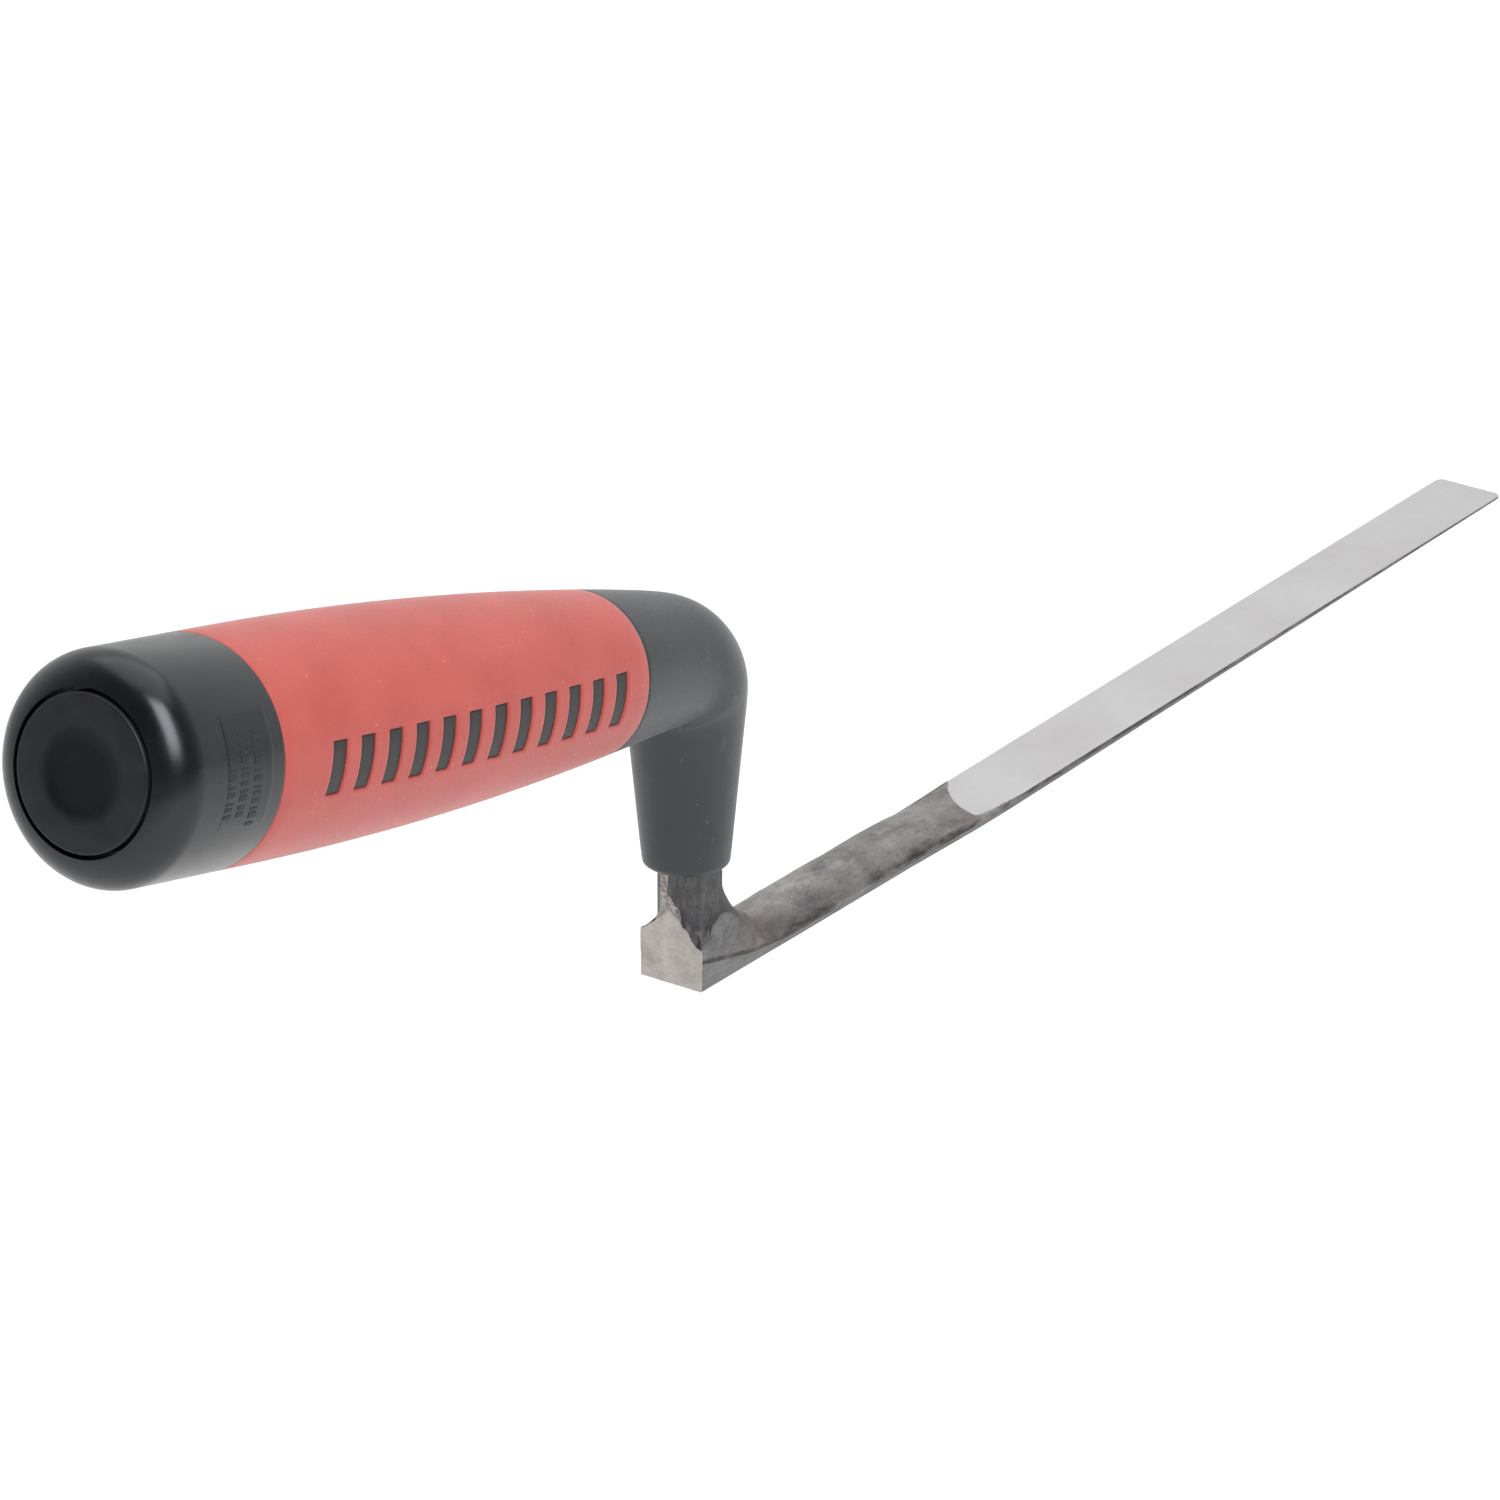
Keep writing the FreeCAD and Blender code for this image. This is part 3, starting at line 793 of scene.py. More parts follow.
def make_plug():
    plug = turned("plug_disc", [
        (PLUG_FACE + DISH_DEPTH, 0, 0),
        *dish_points(),
        (PLUG_FACE, PLUG_R, PLUG_EDGE_R),
        (PLUG_THICKNESS, PLUG_R, 0),
        (PLUG_THICKNESS, CAVITY_R, 0),
        (PLUG_END, CAVITY_R, 0),
        (PLUG_END, 0, 0),
    ])
    # Distance from the axis, which the plug's shader uses for the painted shade in its dish
    layer = plug.data.attributes.new("from_axis", "FLOAT", "POINT")
    for vertex, item in zip(plug.data.vertices, layer.data):
        place = vertex.co / MM - BUTT
        item.value = (place - AXIS * place.dot(AXIS)).length
    return plug


def sleeve_lines():
    """Lengthwise grid lines of the sleeve, and which of them start a window."""
    border = WINDOW_BORDER[0]
    lines = [CAP_LENGTH, CAP_LENGTH + SLEEVE_STEP, CAP_LENGTH + 2 * SLEEVE_STEP]
    windows = []
    for i in range(MARK_COUNT):
        start = MARK_START + i * MARK_PITCH
        end = start + MARK_WIDTH
        windows.append(len(lines) + 1)
        lines += [start - border, start, start + MARK_WIDTH / 2, end, end + border]
    lines += [GRIP_END - SLEEVE_STEP, GRIP_END]
    return lines, windows


def window_heights():
    """Crosswise grid lines over the windows, as heights above the handle's middle."""
    half = MARK_HEIGHT / 2
    border = WINDOW_BORDER[1]
    heights = [-half - border, *np.linspace(-half, half, WINDOW_ROWS), half + border]
    return [height + MARK_RAISE for height in heights]


def sleeve_point(s, row, heights):
    """A point on the sleeve; lines lean with the marks near them and straighten out elsewhere."""
    if row < len(heights):
        height = heights[row]
        angle = math.asin(height / outer_r(s))
    else:
        top = math.asin(heights[-1] / outer_r(s))
        bottom = 2 * math.pi + math.asin(heights[0] / outer_r(s))
        t = (row - len(heights) + 1) / (BACK_ROWS + 1)
        angle = top + (bottom - top) * t
        height = heights[-1] * max(0.0, 1 - 4 * t) + heights[0] * max(0.0, 4 * t - 3)
    lean = float(smoothstep(CAP_LENGTH, MARK_START - 1, s) * smoothstep(GRIP_END, GRIP_END - 4, s))
    s_leaned = s + (height - MARK_RAISE) * math.tan(MARK_SLANT) * lean
    return handle_point(s_leaned, outer_r(s_leaned), angle)


def make_sleeve():
    """The soft sleeve: a sheet with windows for the marks, thickened inward, with rounded lips."""
    lines, windows = sleeve_lines()
    heights = window_heights()
    rows = len(heights) + BACK_ROWS
    points = [sleeve_point(s, row, heights) for s in lines for row in range(rows)]
    faces = []
    for i in range(len(lines) - 1):
        open_column = i in windows or i - 1 in windows
        for j in range(rows):
            if open_column and 1 <= j < len(heights) - 2:
                continue
            k = (j + 1) % rows
            faces.append((i * rows + j, i * rows + k, (i + 1) * rows + k, (i + 1) * rows + j))
    sleeve = mesh_piece("sleeve", points, faces)
    solidify = sleeve.modifiers.new("wall", "SOLIDIFY")
    solidify.thickness = (SLEEVE_THICKNESS - SLEEVE_GAP) * MM
    solidify.offset = -1
    bevel = sleeve.modifiers.new("lips", "BEVEL")
    bevel.width = WINDOW_LIP * MM
    bevel.segments = 3
    bevel.limit_method = "ANGLE"
    bevel.angle_limit = math.radians(50)
    apply_modifiers(sleeve)
    tidy(sleeve, sharp_angle=50)
    return sleeve


def make_pad(name, s, height, length, width, slant, top_r, depth, steps=PAD_STEPS):
    """A pad with rounded upper edges that follows the handle's outside round (s, height)."""
    edge = [(-1.0, -depth), *PAD_EDGE]
    flat = 1 + PAD_EDGE[0][0] - PAD_EDGE[-1][0]
    middle = [(u, 0.0) for u in np.linspace(-flat, flat, steps + 1)[1:-1]]
    across = edge + middle + [(-u, d) for u, d in edge[::-1]]
    points = []
    for u, u_drop in across:
        for v, v_drop in across:
            rise = v * width / 2
            place = s + u * length / 2 + rise * math.tan(slant)
            r = top_r(place)
            points.append(handle_point(place, r + min(u_drop, v_drop), math.asin((height + rise) / r)))
    count = len(across)
    rim = [i * count for i in range(count)]
    rim += [(count - 1) * count + j for j in range(1, count)]
    rim += [i * count + count - 1 for i in range(count - 2, -1, -1)]
    rim += [j for j in range(count - 2, 0, -1)]
    return mesh_piece(name, points, grid_faces(count, count) + [tuple(rim)])


def core_taper_points():
    """The core's outline under the sleeve, one sleeve's thickness inside the grip's."""
    count = round((GRIP_END - CAP_LENGTH) / 3)
    places = [CAP_LENGTH + (GRIP_END - CAP_LENGTH) * i / count for i in range(count + 1)]
    return [(s, outer_r(s) - SLEEVE_THICKNESS, 0) for s in places]


def make_core():
    """The rigid core with the pads that stand in the sleeve's windows."""
    core = turned("core", [
        (CAVITY_END, 0, 0),
        (CAVITY_END, CAVITY_R, 0),
        (CAP_WALL, CAVITY_R, 0),
        (CAP_WALL, REAR_SPIGOT_R, 0),
        (CAP_LENGTH, REAR_SPIGOT_R, 0),
        *core_taper_points(),
        (GRIP_END, FRONT_SPIGOT_R, 0),
        (FRONT_SPIGOT_END, FRONT_SPIGOT_R, 0),
        (FRONT_SPIGOT_END, 0, 0),
    ])
    pads = []
    for i in range(MARK_COUNT):
        centre = MARK_START + i * MARK_PITCH + MARK_WIDTH / 2
        pads.append(make_pad(
            f"pad_{i}", centre, MARK_RAISE, MARK_WIDTH - 2 * MARK_GAP, MARK_HEIGHT - 2 * MARK_GAP,
            MARK_SLANT, lambda s: outer_r(s) - MARK_RECESS, SLEEVE_THICKNESS,
        ))
    return joined(core, pads)


def make_cap_panel():
    """A faint raised panel on the cap's right side."""
    start, end = PANEL_S
    low, high = (GRIP_R * math.sin(math.radians(turn)) for turn in PANEL_TURNS)
    return make_pad(
        "cap_panel", (start + end) / 2, (low + high) / 2, end - start, high - low,
        0.0, lambda _: GRIP_R + PANEL_RAISE, PAD_DEPTH, PANEL_STEPS,
    )


def make_cap_ticks():
    """Three short rows of fine ticks on the panel, of uneven widths."""
    ticks = []
    for s, first, last in TICK_ROWS:
        turn = first
        while turn > last:
            width = TICK_WIDTHS[len(ticks) % len(TICK_WIDTHS)]
            ticks.append(make_pad(
                f"tick_{len(ticks)}", s, GRIP_R * math.sin(math.radians(turn)), TICK_LENGTH, width,
                0.0, lambda _: GRIP_R + PANEL_RAISE + TICK_RAISE, PAD_DEPTH,
            ))
            turn -= math.degrees((width + TICK_GAP) / GRIP_R)
    rows = joined(ticks[0], ticks[1:])
    rows.name = "cap_ticks"
    return rows


# -------------------- elbow and neck

class Boot:
    """Collects the rings of the elbow and neck, from the grip down the outside and back up the bore."""

    def __init__(self):
        self.rings = []
        self.around = [2 * math.pi * j / BOOT_STEPS for j in range(BOOT_STEPS)]

    def ring(self, centre, outward, radius):
        """A ring about a centre; its radius is a number or a function of the angle from outward."""
        radius_at = radius if callable(radius) else lambda _: radius
        self.rings.append([
            centre + (outward * math.cos(a) + RIGHT * math.sin(a)) * radius_at(a) for a in self.around
        ])


def elbow_radius(degrees, around):
    """The barrel keeps its width past the turn and steps down to the neck at a soft crease."""
    base = float(interpolated(ELBOW_RADII, degrees))
    lateral = abs(math.sin(around))
    from_outside = min(around, 2 * math.pi - around)
    crease_at = CREASE_TURN * lateral ** CREASE_BEND
    step = float(smoothstep(crease_at - CREASE_BEFORE, crease_at + CREASE_AFTER, degrees))
    reach = float(smoothstep(*CREASE_SIDES, from_outside))
    return base + (outer_r(BARREL_END) + BARREL_PROUD - base) * step * reach * lateral


def add_barrel(boot):
    seam = filleted([
        (GRIP_END, 0, 0),
        (GRIP_END, outer_r(GRIP_END), SEAM_EDGE_R),
        (GRIP_END + 5, outer_r(GRIP_END + 5), 0),
    ])
    for s, r in seam[1:-1]:
        boot.ring(handle_point(s), ABOVE, r)
    for s in np.arange(GRIP_END + 1, BARREL_END, 1.0):
        boot.ring(handle_point(s), ABOVE, outer_r(s))


def add_elbow(boot, pivot):
    for degrees in np.linspace(FULL_TURN, 0, ELBOW_STEPS):
        outward = bend_outward(math.radians(degrees))
        middle = pivot + outward * (ELBOW_INNER_R + interpolated(ELBOW_RADII, degrees))
        boot.ring(middle, outward, lambda a, d=degrees: elbow_radius(d, a))


def add_neck(boot, pivot):
    top_r = float(interpolated(ELBOW_RADII, 0))
    for z in np.linspace(pivot.z - 0.5, NECK_BOTTOM_Z + 1.5, NECK_STEPS):
        t = (z - NECK_BOTTOM_Z) / (pivot.z - NECK_BOTTOM_Z)
        boot.ring(Vector((0, 0, z)), FRONT, NECK_BOTTOM_R + t * (top_r - NECK_BOTTOM_R))
    foot = filleted([
        (NECK_BOTTOM_Z + 1, NECK_BOTTOM_R + 0.09, 0),
        (NECK_BOTTOM_Z, NECK_BOTTOM_R, NECK_EDGE_R),
        (NECK_BOTTOM_Z, 0, 0),
    ])
    for z, r in foot[1:-1]:
        boot.ring(Vector((0, 0, z)), FRONT, r)


def add_bore(boot):
    """The collar's bore at the foot, then the narrower one that follows the tang up to the core."""
    boot.ring(Vector((SHANK_X, 0, NECK_BOTTOM_Z)), FRONT, COLLAR_BORE_R)
    for radius in (COLLAR_BORE_R, BORE_R):
        boot.ring(Vector((SHANK_X, 0, TANG_SHOULDER_Z + 0.1)), FRONT, radius)
    pivot, turn, _ = tang_bend()
    for step in range(BEND_STEPS + 1):
        outward = bend_outward(turn * step / BEND_STEPS)
        boot.ring(pivot + outward * TANG_BEND_R, outward, BORE_R)
    boot.ring(handle_point(FRONT_SPIGOT_END), ABOVE, BORE_R)
    for s in (FRONT_SPIGOT_END, GRIP_END):
        boot.ring(handle_point(s), ABOVE, FRONT_SPIGOT_R)


def eased(rings):
    """Rounds the change from the elbow to the neck by averaging neighbouring rings there."""
    smooth = np.array(rings)
    first, last = ELBOW_RINGS
    for _ in range(EASE_ROUNDS):
        inner = smooth[first:last]
        inner += 0.25 * (smooth[first - 1:last - 1] - 2 * inner + smooth[first + 1:last + 1])
    return smooth


def end_lift(p):
    """The neck's open end isn't quite square: it is cut higher at its right rear."""
    towards = (END_LIFT_TOWARDS[0] * p[0] + END_LIFT_TOWARDS[1] * p[1]) / NECK_BOTTOM_R
    near_end = smoothstep(NECK_BOTTOM_Z + END_LIFT_FADE, NECK_BOTTOM_Z, p[2])
    return END_LIFT * float(smoothstep(-0.5, 0.9, towards) * near_end)


def make_boot():
    boot = Boot()
    pivot = handle_point(BARREL_END) - ABOVE * (outer_r(BARREL_END) + ELBOW_INNER_R)
    add_barrel(boot)
    add_elbow(boot, pivot)
    add_neck(boot, pivot)
    add_bore(boot)
    rings = eased(boot.rings)
    points = [Vector(p) + Vector((0, 0, end_lift(p))) for ring in rings for p in ring]
    return mesh_piece("elbow_neck", points, torus_faces(len(rings), BOOT_STEPS), sharp_angle=45)


# -------------------- materials

COOL_GLOSS = (0.88, 0.94, 1.0, 1.0)   # the black plastics reflect slightly blue


def linear(r, g, b):
    """A colour given in 0-255 display values, as the shader needs it."""
    return tuple(
        c / 12.92 if c <= 0.04045 else ((c + 0.055) / 1.055) ** 2.4
        for c in (r / 255, g / 255, b / 255)
    ) + (1.0,)


def put(tree, socket, value):
    """Links an output, or sets a constant, on one input socket."""
    if isinstance(value, bpy.types.NodeSocket):
        tree.links.new(value, socket)
    else:
        socket.default_value = value


def add_node(tree, kind, inputs, **settings):
    """Adds a node with its settings, and with its inputs by name or number."""
    node = tree.nodes.new("ShaderNode" + kind)
    for name, value in settings.items():
        setattr(node, name, value)
    for name, value in inputs.items():
        put(tree, node.inputs[name], value)
    return node


class Finish:
    """One procedural material, written as a list of steps. Texture sizes are in millimetres."""

    def __init__(self, name, **shader):
        self.material = bpy.data.materials.new(name)
        self.material.use_nodes = True
        self.tree = self.material.node_tree
        self.shader = self.tree.nodes["Principled BSDF"]
        self.coordinates = self.node("TexCoord", {}).outputs["Object"]
        for socket, value in shader.items():
            put(self.tree, self.shader.inputs[socket.replace("_", " ")], value)

    def node(self, kind, inputs, **settings):
        return add_node(self.tree, kind, inputs, **settings)

    def scaled(self, size, stretch, turn, shift):
        scale = [1 / (MM * size * k) for k in stretch]
        inputs = {"Vector": self.coordinates, "Scale": scale, "Rotation": (0, turn, 0), "Location": shift}
        return self.node("Mapping", inputs).outputs["Vector"]

    def noise(self, size, detail, roughness, stretch=(1, 1, 1), turn=0.0, seed=0.0, distortion=0.0):
        place = self.scaled(size, stretch, turn, (seed, seed * 0.7, -seed))
        inputs = {
            "Vector": place, "Scale": 1.0, "Detail": detail, "Roughness": roughness, "Distortion": distortion,
        }
        return self.node("TexNoise", inputs).outputs["Fac"]

    def cells(self, size, seed):
        """Distance to scattered points, for specks."""
        place = self.scaled(size, (1, 1, 1), 0.0, (seed, -seed, seed * 0.3))
        return self.node("TexVoronoi", {"Vector": place, "Scale": 1.0}).outputs["Distance"]

    def height(self):
        """Height in the frame, in metres."""
        return self.node("SeparateXYZ", {"Vector": self.coordinates}).outputs["Z"]

    def attribute(self, name):
        return self.node("Attribute", {}, attribute_name=name).outputs["Fac"]

    def span(self, value, low, high, to_low=0.0, to_high=1.0, kind="LINEAR"):
        """Maps low..high onto to_low..to_high, clamped."""
        inputs = {"Value": value, "From Min": low, "From Max": high, "To Min": to_low, "To Max": to_high}
        return self.node("MapRange", inputs, interpolation_type=kind).outputs["Result"]

    def plus(self, a, b):
        return self.node("Math", {0: a, 1: b}, operation="ADD").outputs["Value"]

    def times(self, a, b):
        return self.node("Math", {0: a, 1: b}, operation="MULTIPLY").outputs["Value"]

    def mix(self, amount, a, b):
        """From a to b by the given amount; each is an output or a colour in 0-255 display values."""
        a, b = (linear(*colour) if isinstance(colour, tuple) else colour for colour in (a, b))
        return self.node("Mix", {"Factor": amount, 6: a, 7: b}, data_type="RGBA").outputs[2]

    def over(self, colour, *layers):
        """Lays (amount, colour) layers over a colour, one after another."""
        for amount, layer in layers:
            colour = self.mix(amount, colour, layer)
        return colour

    def bump(self, height, distance, strength, under=None):
        inputs = {"Strength": strength, "Distance": distance * MM, "Height": height}
        if under:
            inputs["Normal"] = under
        return self.node("Bump", inputs).outputs["Normal"]

    def finish(self, colour, roughness=None, normal=None):
        for socket, value in (("Base Color", colour), ("Roughness", roughness), ("Normal", normal)):
            if value:
                put(self.tree, self.shader.inputs[socket], value)
        return self.material


# Patches of the forged skin: noise size, detail, roughness, stretch and seed, then the noise's range,
# the strength and the colour
SKIN_PATCHES = (
    (3.4, 3, 0.6, 1.0, 12.0, 0.5, 0.72, 0.5, (142, 130, 122)),
    (3.0, 5, 0.7, 2.2, 21.0, 0.52, 0.72, 0.6, (184, 181, 178)),
    (0.8, 5, 0.75, 1.8, 23.0, 0.54, 0.68, 0.55, (92, 91, 90)),
    (0.7, 5, 0.75, 1.8, 29.0, 0.6, 0.72, 0.5, (186, 184, 182)),
)


def forged_skin(f, fray, grain):
    """Grey forging scale with darker, warmer and worn patches, the heel's own shades, and painted shade in
    the pocket beside the rear face.
    """
    patches = f.span(f.noise(5.0, 4, 0.6, (1.6, 1, 1), seed=7.7), 0.35, 0.66)
    skin = f.mix(patches, (112, 111, 111), (160, 159, 157))
    for size, detail, roughness, stretch, seed, low, high, most, colour in SKIN_PATCHES:
        patch = f.noise(size, detail, roughness, (stretch, 1, 1), seed=seed)
        skin = f.mix(f.span(patch, low, high, 0.0, most), skin, colour)
    skin = f.mix(f.times(grain, 0.26), skin, (88, 87, 86))

    # A ragged dark band above the polished strip, and the evenly ground cheek of the heel
    uneven = f.noise(2.5, 4, 0.65, (2.5, 1, 1), seed=5.0)
    ragged = f.span(f.noise(0.9, 3, 0.6, (3.2, 1, 1), seed=31.0), 0.3, 0.7, -0.22, 0.22)
    above_strip = f.plus(f.attribute("band"), ragged)
    band = f.times(f.span(above_strip, 0.45, 0.85, 1.0, 0.0), f.span(uneven, 0.35, 0.55, 0.1, 0.95))
    skin = f.mix(band, skin, (74, 70, 68))
    cheek = f.times(f.span(f.attribute("cheek"), 0.0, 1.6), f.span(above_strip, 0.5, 0.95))
    mottling = f.span(f.noise(2.0, 5, 0.7, seed=14.0), 0.3, 0.7)
    skin = f.mix(cheek, skin, f.mix(mottling, (92, 91, 92), (134, 133, 133)))

    # The dark shank, painted shade in the pocket beside the rear face, and the scorched patch in front of the
    # heel
    streaks = f.span(f.noise(0.7, 4, 0.65, (1, 1, 4.0), seed=18.0), 0.42, 0.72)
    stem = f.span(f.attribute("stem"), 5.0, 8.0, 0.0, 0.85)
    skin = f.mix(stem, skin, f.mix(streaks, (66, 66, 69), (98, 98, 101)))
    pocket_shade = f.times(f.span(f.attribute("pocket_shade"), 0.1, 0.9), f.span(fray, 0.35, 0.6, 0.55, 0.95))
    skin = f.mix(pocket_shade, skin, (62, 61, 62))
    scorch = f.times(f.span(f.attribute("scorch"), 0.0, 0.7), f.span(uneven, 0.3, 0.6, 0.25, 0.8))
    skin = f.mix(scorch, skin, (98, 86, 80))
    pits = f.span(f.cells(1.3, seed=4.0), 0.08, 0.16, 1.0, 0.0)
    pits = f.times(pits, f.span(f.noise(4.0, 2, 0.5, seed=9.0), 0.52, 0.64, 0.0, 0.7))
    return f.mix(pits, skin, (58, 52, 50))


def ground_steel(f):
    """Ground steel: pale on the blade, warmer on the heel's rear face, darker along the flanks."""
    long_marks = f.noise(0.5, 4, 0.7, (9, 0.55, 1), seed=2.0)
    slant_marks = f.noise(0.3, 4, 0.7, (1, 3.0, 1.6), seed=8.5, distortion=1.2)
    clouds = f.span(f.noise(14, 2, 0.5, seed=6.0), 0.3, 0.7)
    pale = f.mix(clouds, (189, 187, 188), (197, 196, 196))
    pale = f.mix(f.span(long_marks, 0.4, 0.7, 0.0, 0.15), pale, (178, 176, 177))
    rear = f.mix(f.span(f.noise(2.4, 3, 0.6, seed=16.0), 0.3, 0.7), (162, 157, 153), (186, 181, 177))
    rear = f.mix(f.span(slant_marks, 0.48, 0.7, 0.0, 0.4), rear, (132, 127, 123))
    hatch = f.span(f.noise(0.5, 4, 0.7, (1, 1, 0.5), turn=0.5, seed=19.0), 0.42, 0.58, 0.0, 0.75)
    hatch = f.times(hatch, f.span(f.attribute("stem"), 11.0, 12.5))
    rear = f.mix(hatch, rear, (72, 72, 73))
    flank = f.mix(f.span(long_marks, 0.35, 0.68), (126, 127, 128), (105, 105, 106))
    pale = f.mix(f.attribute("rear"), pale, rear)
    return f.mix(f.attribute("flank"), pale, flank)


def forged_steel():
    f = Finish("forged_steel", Metallic=1.0)
    fray = f.noise(0.5, 3, 0.6, seed=3.1)
    edge = f.plus(f.attribute("ground"), f.span(fray, 0.3, 0.7, -0.1, 0.1))
    ground = f.span(edge, -0.03, 0.05)
    on_skin = f.span(ground, 0, 1, 1, 0)
    grain = f.span(f.noise(0.3, 4, 0.65, seed=1.5), 0.3, 0.7)
    cross_marks = f.noise(0.32, 3, 0.6, (1, 5.0, 1), seed=8.0)
    colour = f.mix(ground, forged_skin(f, fray, grain), ground_steel(f))

    skin_rough = f.span(grain, 0, 1, 0.42, 0.6)
    pale_rough = f.span(cross_marks, 0.3, 0.7, 0.34, 0.5)
    roughness = f.plus(f.times(skin_rough, on_skin), f.times(pale_rough, ground))
    dents = f.times(f.noise(2.0, 3, 0.5, seed=11.0), f.span(ground, 0, 1, 1.0, 0.15))
    normal = f.bump(f.times(grain, on_skin), 0.05, 0.6)
    normal = f.bump(dents, 0.14, 0.5, normal)
    normal = f.bump(f.times(cross_marks, ground), 0.012, 0.5, normal)
    normal = f.bump(ground, -0.05, 0.8, normal)
    return f.finish(colour, roughness, normal)


def red_grip():
    f = Finish(
        "red_soft_grip", Metallic=0.0, Specular_IOR_Level=0.45,
        Sheen_Weight=0.3, Sheen_Roughness=0.35, Sheen_Tint=linear(255, 232, 232),
    )
    broad = f.span(f.noise(9.0, 3, 0.55, seed=2.0), 0.32, 0.68)
    fine = f.noise(0.28, 3, 0.6, seed=5.0)
    dust = f.span(f.cells(2.1, seed=6.0), 0.035, 0.07, 0.55, 0.0)
    soot = f.span(f.cells(3.4, seed=1.0), 0.02, 0.045, 0.5, 0.0)
    scuff = f.span(f.noise(2.4, 5, 0.7, (1, 1, 3.0), turn=0.6, seed=9.0), 0.62, 0.74, 0.0, 0.3)
    colour = f.over(
        f.mix(broad, (170, 71, 64), (181, 80, 73)), (f.span(fine, 0.35, 0.72, 0.0, 0.22), (162, 64, 59)),
        (dust, (232, 170, 160)), (soot, (120, 52, 50)), (scuff, (176, 84, 80)),
    )
    roughness = f.span(fine, 0.3, 0.7, 0.44, 0.58)
    return f.finish(colour, roughness, f.bump(fine, 0.04, 0.35))


def satin_black():
    f = Finish("satin_black_plastic", Metallic=0.0, Specular_IOR_Level=0.5, Specular_Tint=COOL_GLOSS)
    haze = f.noise(7.0, 3, 0.6, seed=3.0)
    fine = f.noise(0.2, 3, 0.6, seed=4.0)
    scratch = f.span(f.noise(0.35, 3, 0.6, (14, 1, 3), turn=-PITCH, seed=8.0), 0.68, 0.76, 0.0, 0.3)
    colour = f.mix(f.span(haze, 0.35, 0.7), (7, 8, 9), (15, 16, 17))
    colour = f.mix(scratch, colour, (62, 63, 65))
    roughness = f.span(haze, 0.3, 0.7, 0.22, 0.3)
    return f.finish(colour, roughness, f.bump(fine, 0.02, 0.2))


def plug_black():
    f = Finish("plug_black_plastic", Metallic=0.0, Specular_IOR_Level=0.25, Specular_Tint=COOL_GLOSS)
    haze = f.noise(3.0, 3, 0.6, seed=5.0)
    fine = f.noise(0.25, 3, 0.6, seed=2.0)
    # Painted shade: the dish in the middle of the plug is coloured near black, darkest at its centre
    centre = f.span(f.attribute("from_axis"), 4.4, 6.0, 0.95, 0.0, "SMOOTHSTEP")
    colour = f.mix(f.span(haze, 0.35, 0.7), (30, 30, 31), (36, 36, 37))
    colour = f.mix(centre, colour, (4, 4, 4))
    roughness = f.span(haze, 0.3, 0.7, 0.28, 0.38)
    return f.finish(colour, roughness, f.bump(fine, 0.02, 0.2))


def matt_black():
    f = Finish(
        "matt_black_plastic", Metallic=0.0, Specular_IOR_Level=0.7, Specular_Tint=COOL_GLOSS,
        Sheen_Weight=0.2, Sheen_Roughness=0.3,
    )
    broad = f.span(f.noise(8.0, 3, 0.55, seed=1.0), 0.3, 0.7)
    fine = f.noise(0.3, 4, 0.65, seed=6.0)
    # Painted shade: the neck is coloured darker towards its foot, fading out up into the elbow
    neck = f.span(f.height(), 0.022, 0.046, 0.8, 0.0, "SMOOTHSTEP")
    dust = f.span(f.cells(1.7, seed=3.0), 0.04, 0.09, 0.5, 0.0)
    dust = f.times(dust, f.span(f.noise(5.0, 2, 0.5, seed=2.5), 0.45, 0.6))
    scuff = f.span(f.noise(1.6, 5, 0.75, (1, 1, 2.5), seed=4.4), 0.62, 0.72, 0.0, 0.35)
    colour = f.over(
        f.mix(broad, (29, 30, 32), (39, 40, 42)),
        (neck, (12, 13, 15)), (dust, (128, 128, 126)), (scuff, (96, 97, 98)),
    )
    normal = f.bump(fine, 0.06, 0.4)
    normal = f.bump(f.noise(3.0, 2, 0.5, seed=8.0), 0.1, 0.15, normal)
    return f.finish(colour, f.span(fine, 0.3, 0.7, 0.38, 0.5), normal)


def tick_black():
    f = Finish("tick_black_plastic", Metallic=0.0)
    wear_off = f.noise(0.6, 3, 0.6, seed=7.0)
    colour = f.mix(f.span(wear_off, 0.3, 0.7), (14, 14, 15), (34, 34, 36))
    return f.finish(colour, f.span(wear_off, 0.3, 0.7, 0.5, 0.7))


def mark_black():
    f = Finish("mark_black_plastic", Metallic=0.0)
    streak = f.noise(0.5, 4, 0.7, (1, 1, 5), seed=3.3)
    colour = f.mix(f.span(streak, 0.35, 0.7), (30, 29, 29), (54, 51, 50))
    roughness = f.span(streak, 0.3, 0.7, 0.45, 0.65)
    return f.finish(colour, roughness, f.bump(streak, 0.08, 0.4))


def plated_steel():
    f = Finish("plated_steel", Metallic=1.0)
    haze = f.noise(2.0, 3, 0.6, seed=1.0)
    colour = f.mix(f.span(haze, 0.3, 0.7), (186, 188, 190), (206, 204, 198))
    roughness = f.span(haze, 0.3, 0.7, 0.28, 0.42)
    return f.finish(colour, roughness, f.bump(haze, 0.02, 0.3))


def floor_white():
    f = Finish("floor_white", Metallic=0.0, Roughness=0.8)
    grain = f.noise(40.0, 3, 0.5, seed=1.0)
    return f.finish(f.mix(grain, (246, 246, 246), (250, 250, 250)))


def wear(obj, material):
    obj.data.materials.clear()
    obj.data.materials.append(material)


# -------------------- stage, in metres

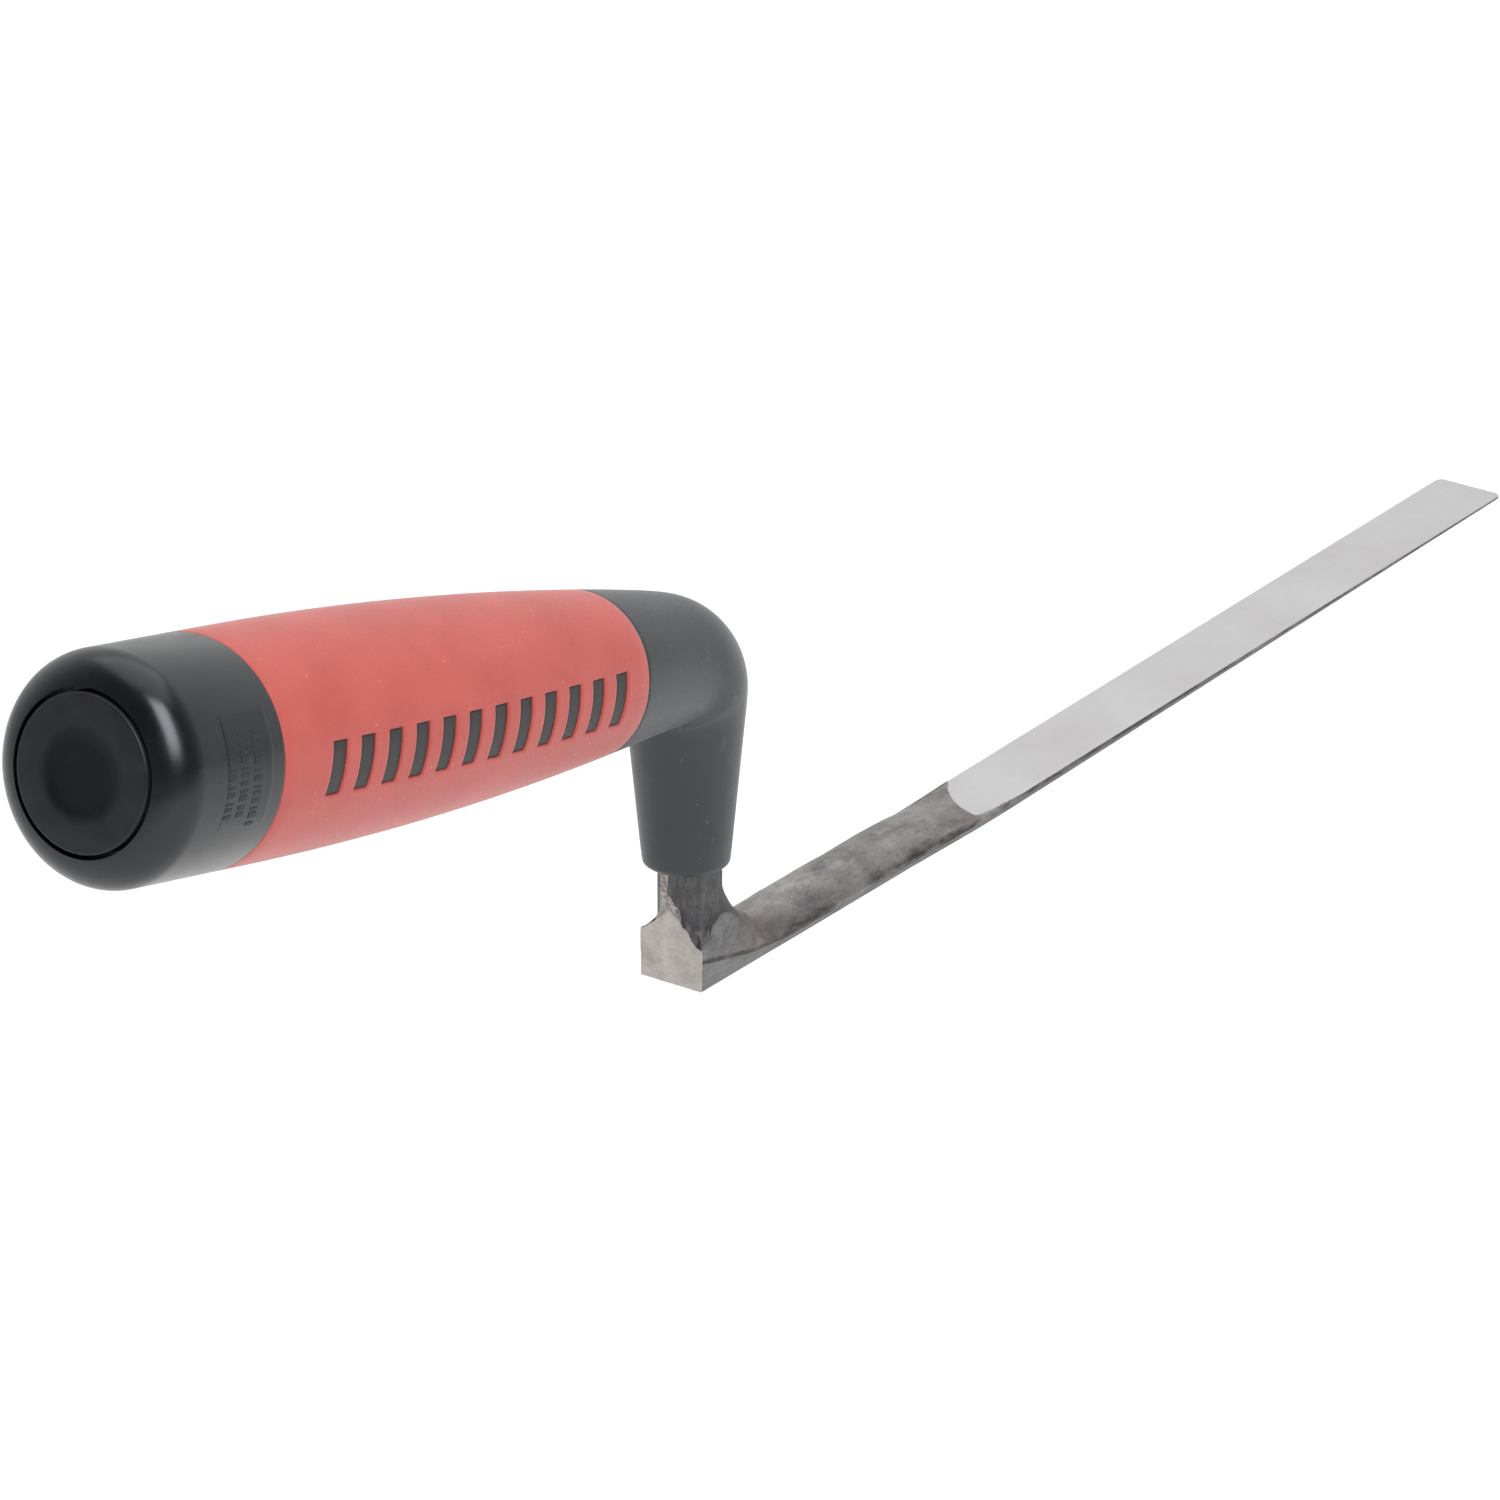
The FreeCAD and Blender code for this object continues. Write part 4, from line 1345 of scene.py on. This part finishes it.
CAMERA_PLACE = Vector((-0.92846, -0.67125, 0.54136))
VIEW = Vector((0.7432, 0.53, -0.40836))
LENS = 259.44
SENSOR = 36.0
FLOOR_Z = -0.04
FLOOR_SIZE = 3.0
SURROUND = {"From Min": -0.6, "From Max": 0.6, "To Min": 0.14, "To Max": 1.05}


def place_and_aim(obj, place, direction):
    obj.location = place
    obj.rotation_mode = "QUATERNION"
    obj.rotation_quaternion = direction.to_track_quat("-Z", "Y")
    link(obj)


def add_camera():
    camera = bpy.data.objects.new("camera", bpy.data.cameras.new("camera"))
    camera.data.lens = LENS
    camera.data.sensor_width = SENSOR
    camera.data.clip_start = 0.05
    camera.data.clip_end = 20
    place_and_aim(camera, CAMERA_PLACE, VIEW)
    bpy.context.scene.camera = camera


def add_softbox(name, place, target, width, height, power):
    light = bpy.data.lights.new(name, "AREA")
    light.shape = "RECTANGLE"
    light.size = width
    light.size_y = height
    light.energy = power
    place_and_aim(bpy.data.objects.new(name, light), place, Vector(target) - Vector(place))


def add_floor():
    bm = bmesh.new()
    bmesh.ops.create_grid(bm, x_segments=2, y_segments=2, size=FLOOR_SIZE)
    mesh = bpy.data.meshes.new("floor")
    bm.to_mesh(mesh)
    bm.free()
    floor = link(bpy.data.objects.new("floor", mesh))
    floor.location.z = FLOOR_Z
    wear(floor, floor_white())


def add_world():
    """A white surround that is dimmer on the camera's side."""
    world = bpy.data.worlds.new("studio")
    world.use_nodes = True
    tree = world.node_tree
    direction = add_node(tree, "TexCoord", {}).outputs["Generated"]
    towards = add_node(tree, "VectorMath", {0: direction, 1: VIEW}, operation="DOT_PRODUCT").outputs["Value"]
    ramp = add_node(tree, "MapRange", {"Value": towards, **SURROUND}, interpolation_type="SMOOTHSTEP")
    background = tree.nodes["Background"]
    put(tree, background.inputs["Color"], (1, 1, 1, 1))
    put(tree, background.inputs["Strength"], ramp.outputs["Result"])
    bpy.context.scene.world = world


def add_stage():
    add_floor()
    add_world()
    add_camera()
    add_softbox("overhead", (0.22, 0.2, 1.3), (0.0, 0, 0.03), width=1.5, height=1.3, power=9)
    add_softbox("right_window", (-0.55, -0.66, 0.96), (-0.1, 0, 0.06), width=0.6, height=0.95, power=15)
    bpy.context.scene.view_settings.view_transform = "Standard"
    bpy.context.scene.view_settings.look = "None"


# -------------------- assembly

def add_piece(obj, node, material):
    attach(obj, "root")
    if node:
        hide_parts(node)
    wear(obj, material)


def main():
    satin = satin_black()
    steel = plated_steel()
    add_piece(make_forging(), "blade_forging", forged_steel())
    add_piece(make_boot(), "neck_boot", matt_black())
    add_piece(make_core(), "handle_core", mark_black())
    add_piece(make_sleeve(), "soft_grip", red_grip())
    add_piece(make_cap(), "butt_cap", satin)
    add_piece(make_plug(), "end_plug", plug_black())
    add_piece(make_cap_panel(), None, satin)
    add_piece(make_cap_ticks(), None, tick_black())
    for node in ("tang_washer", "tang_nut"):
        wear(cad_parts[node], steel)
    add_stage()


main()
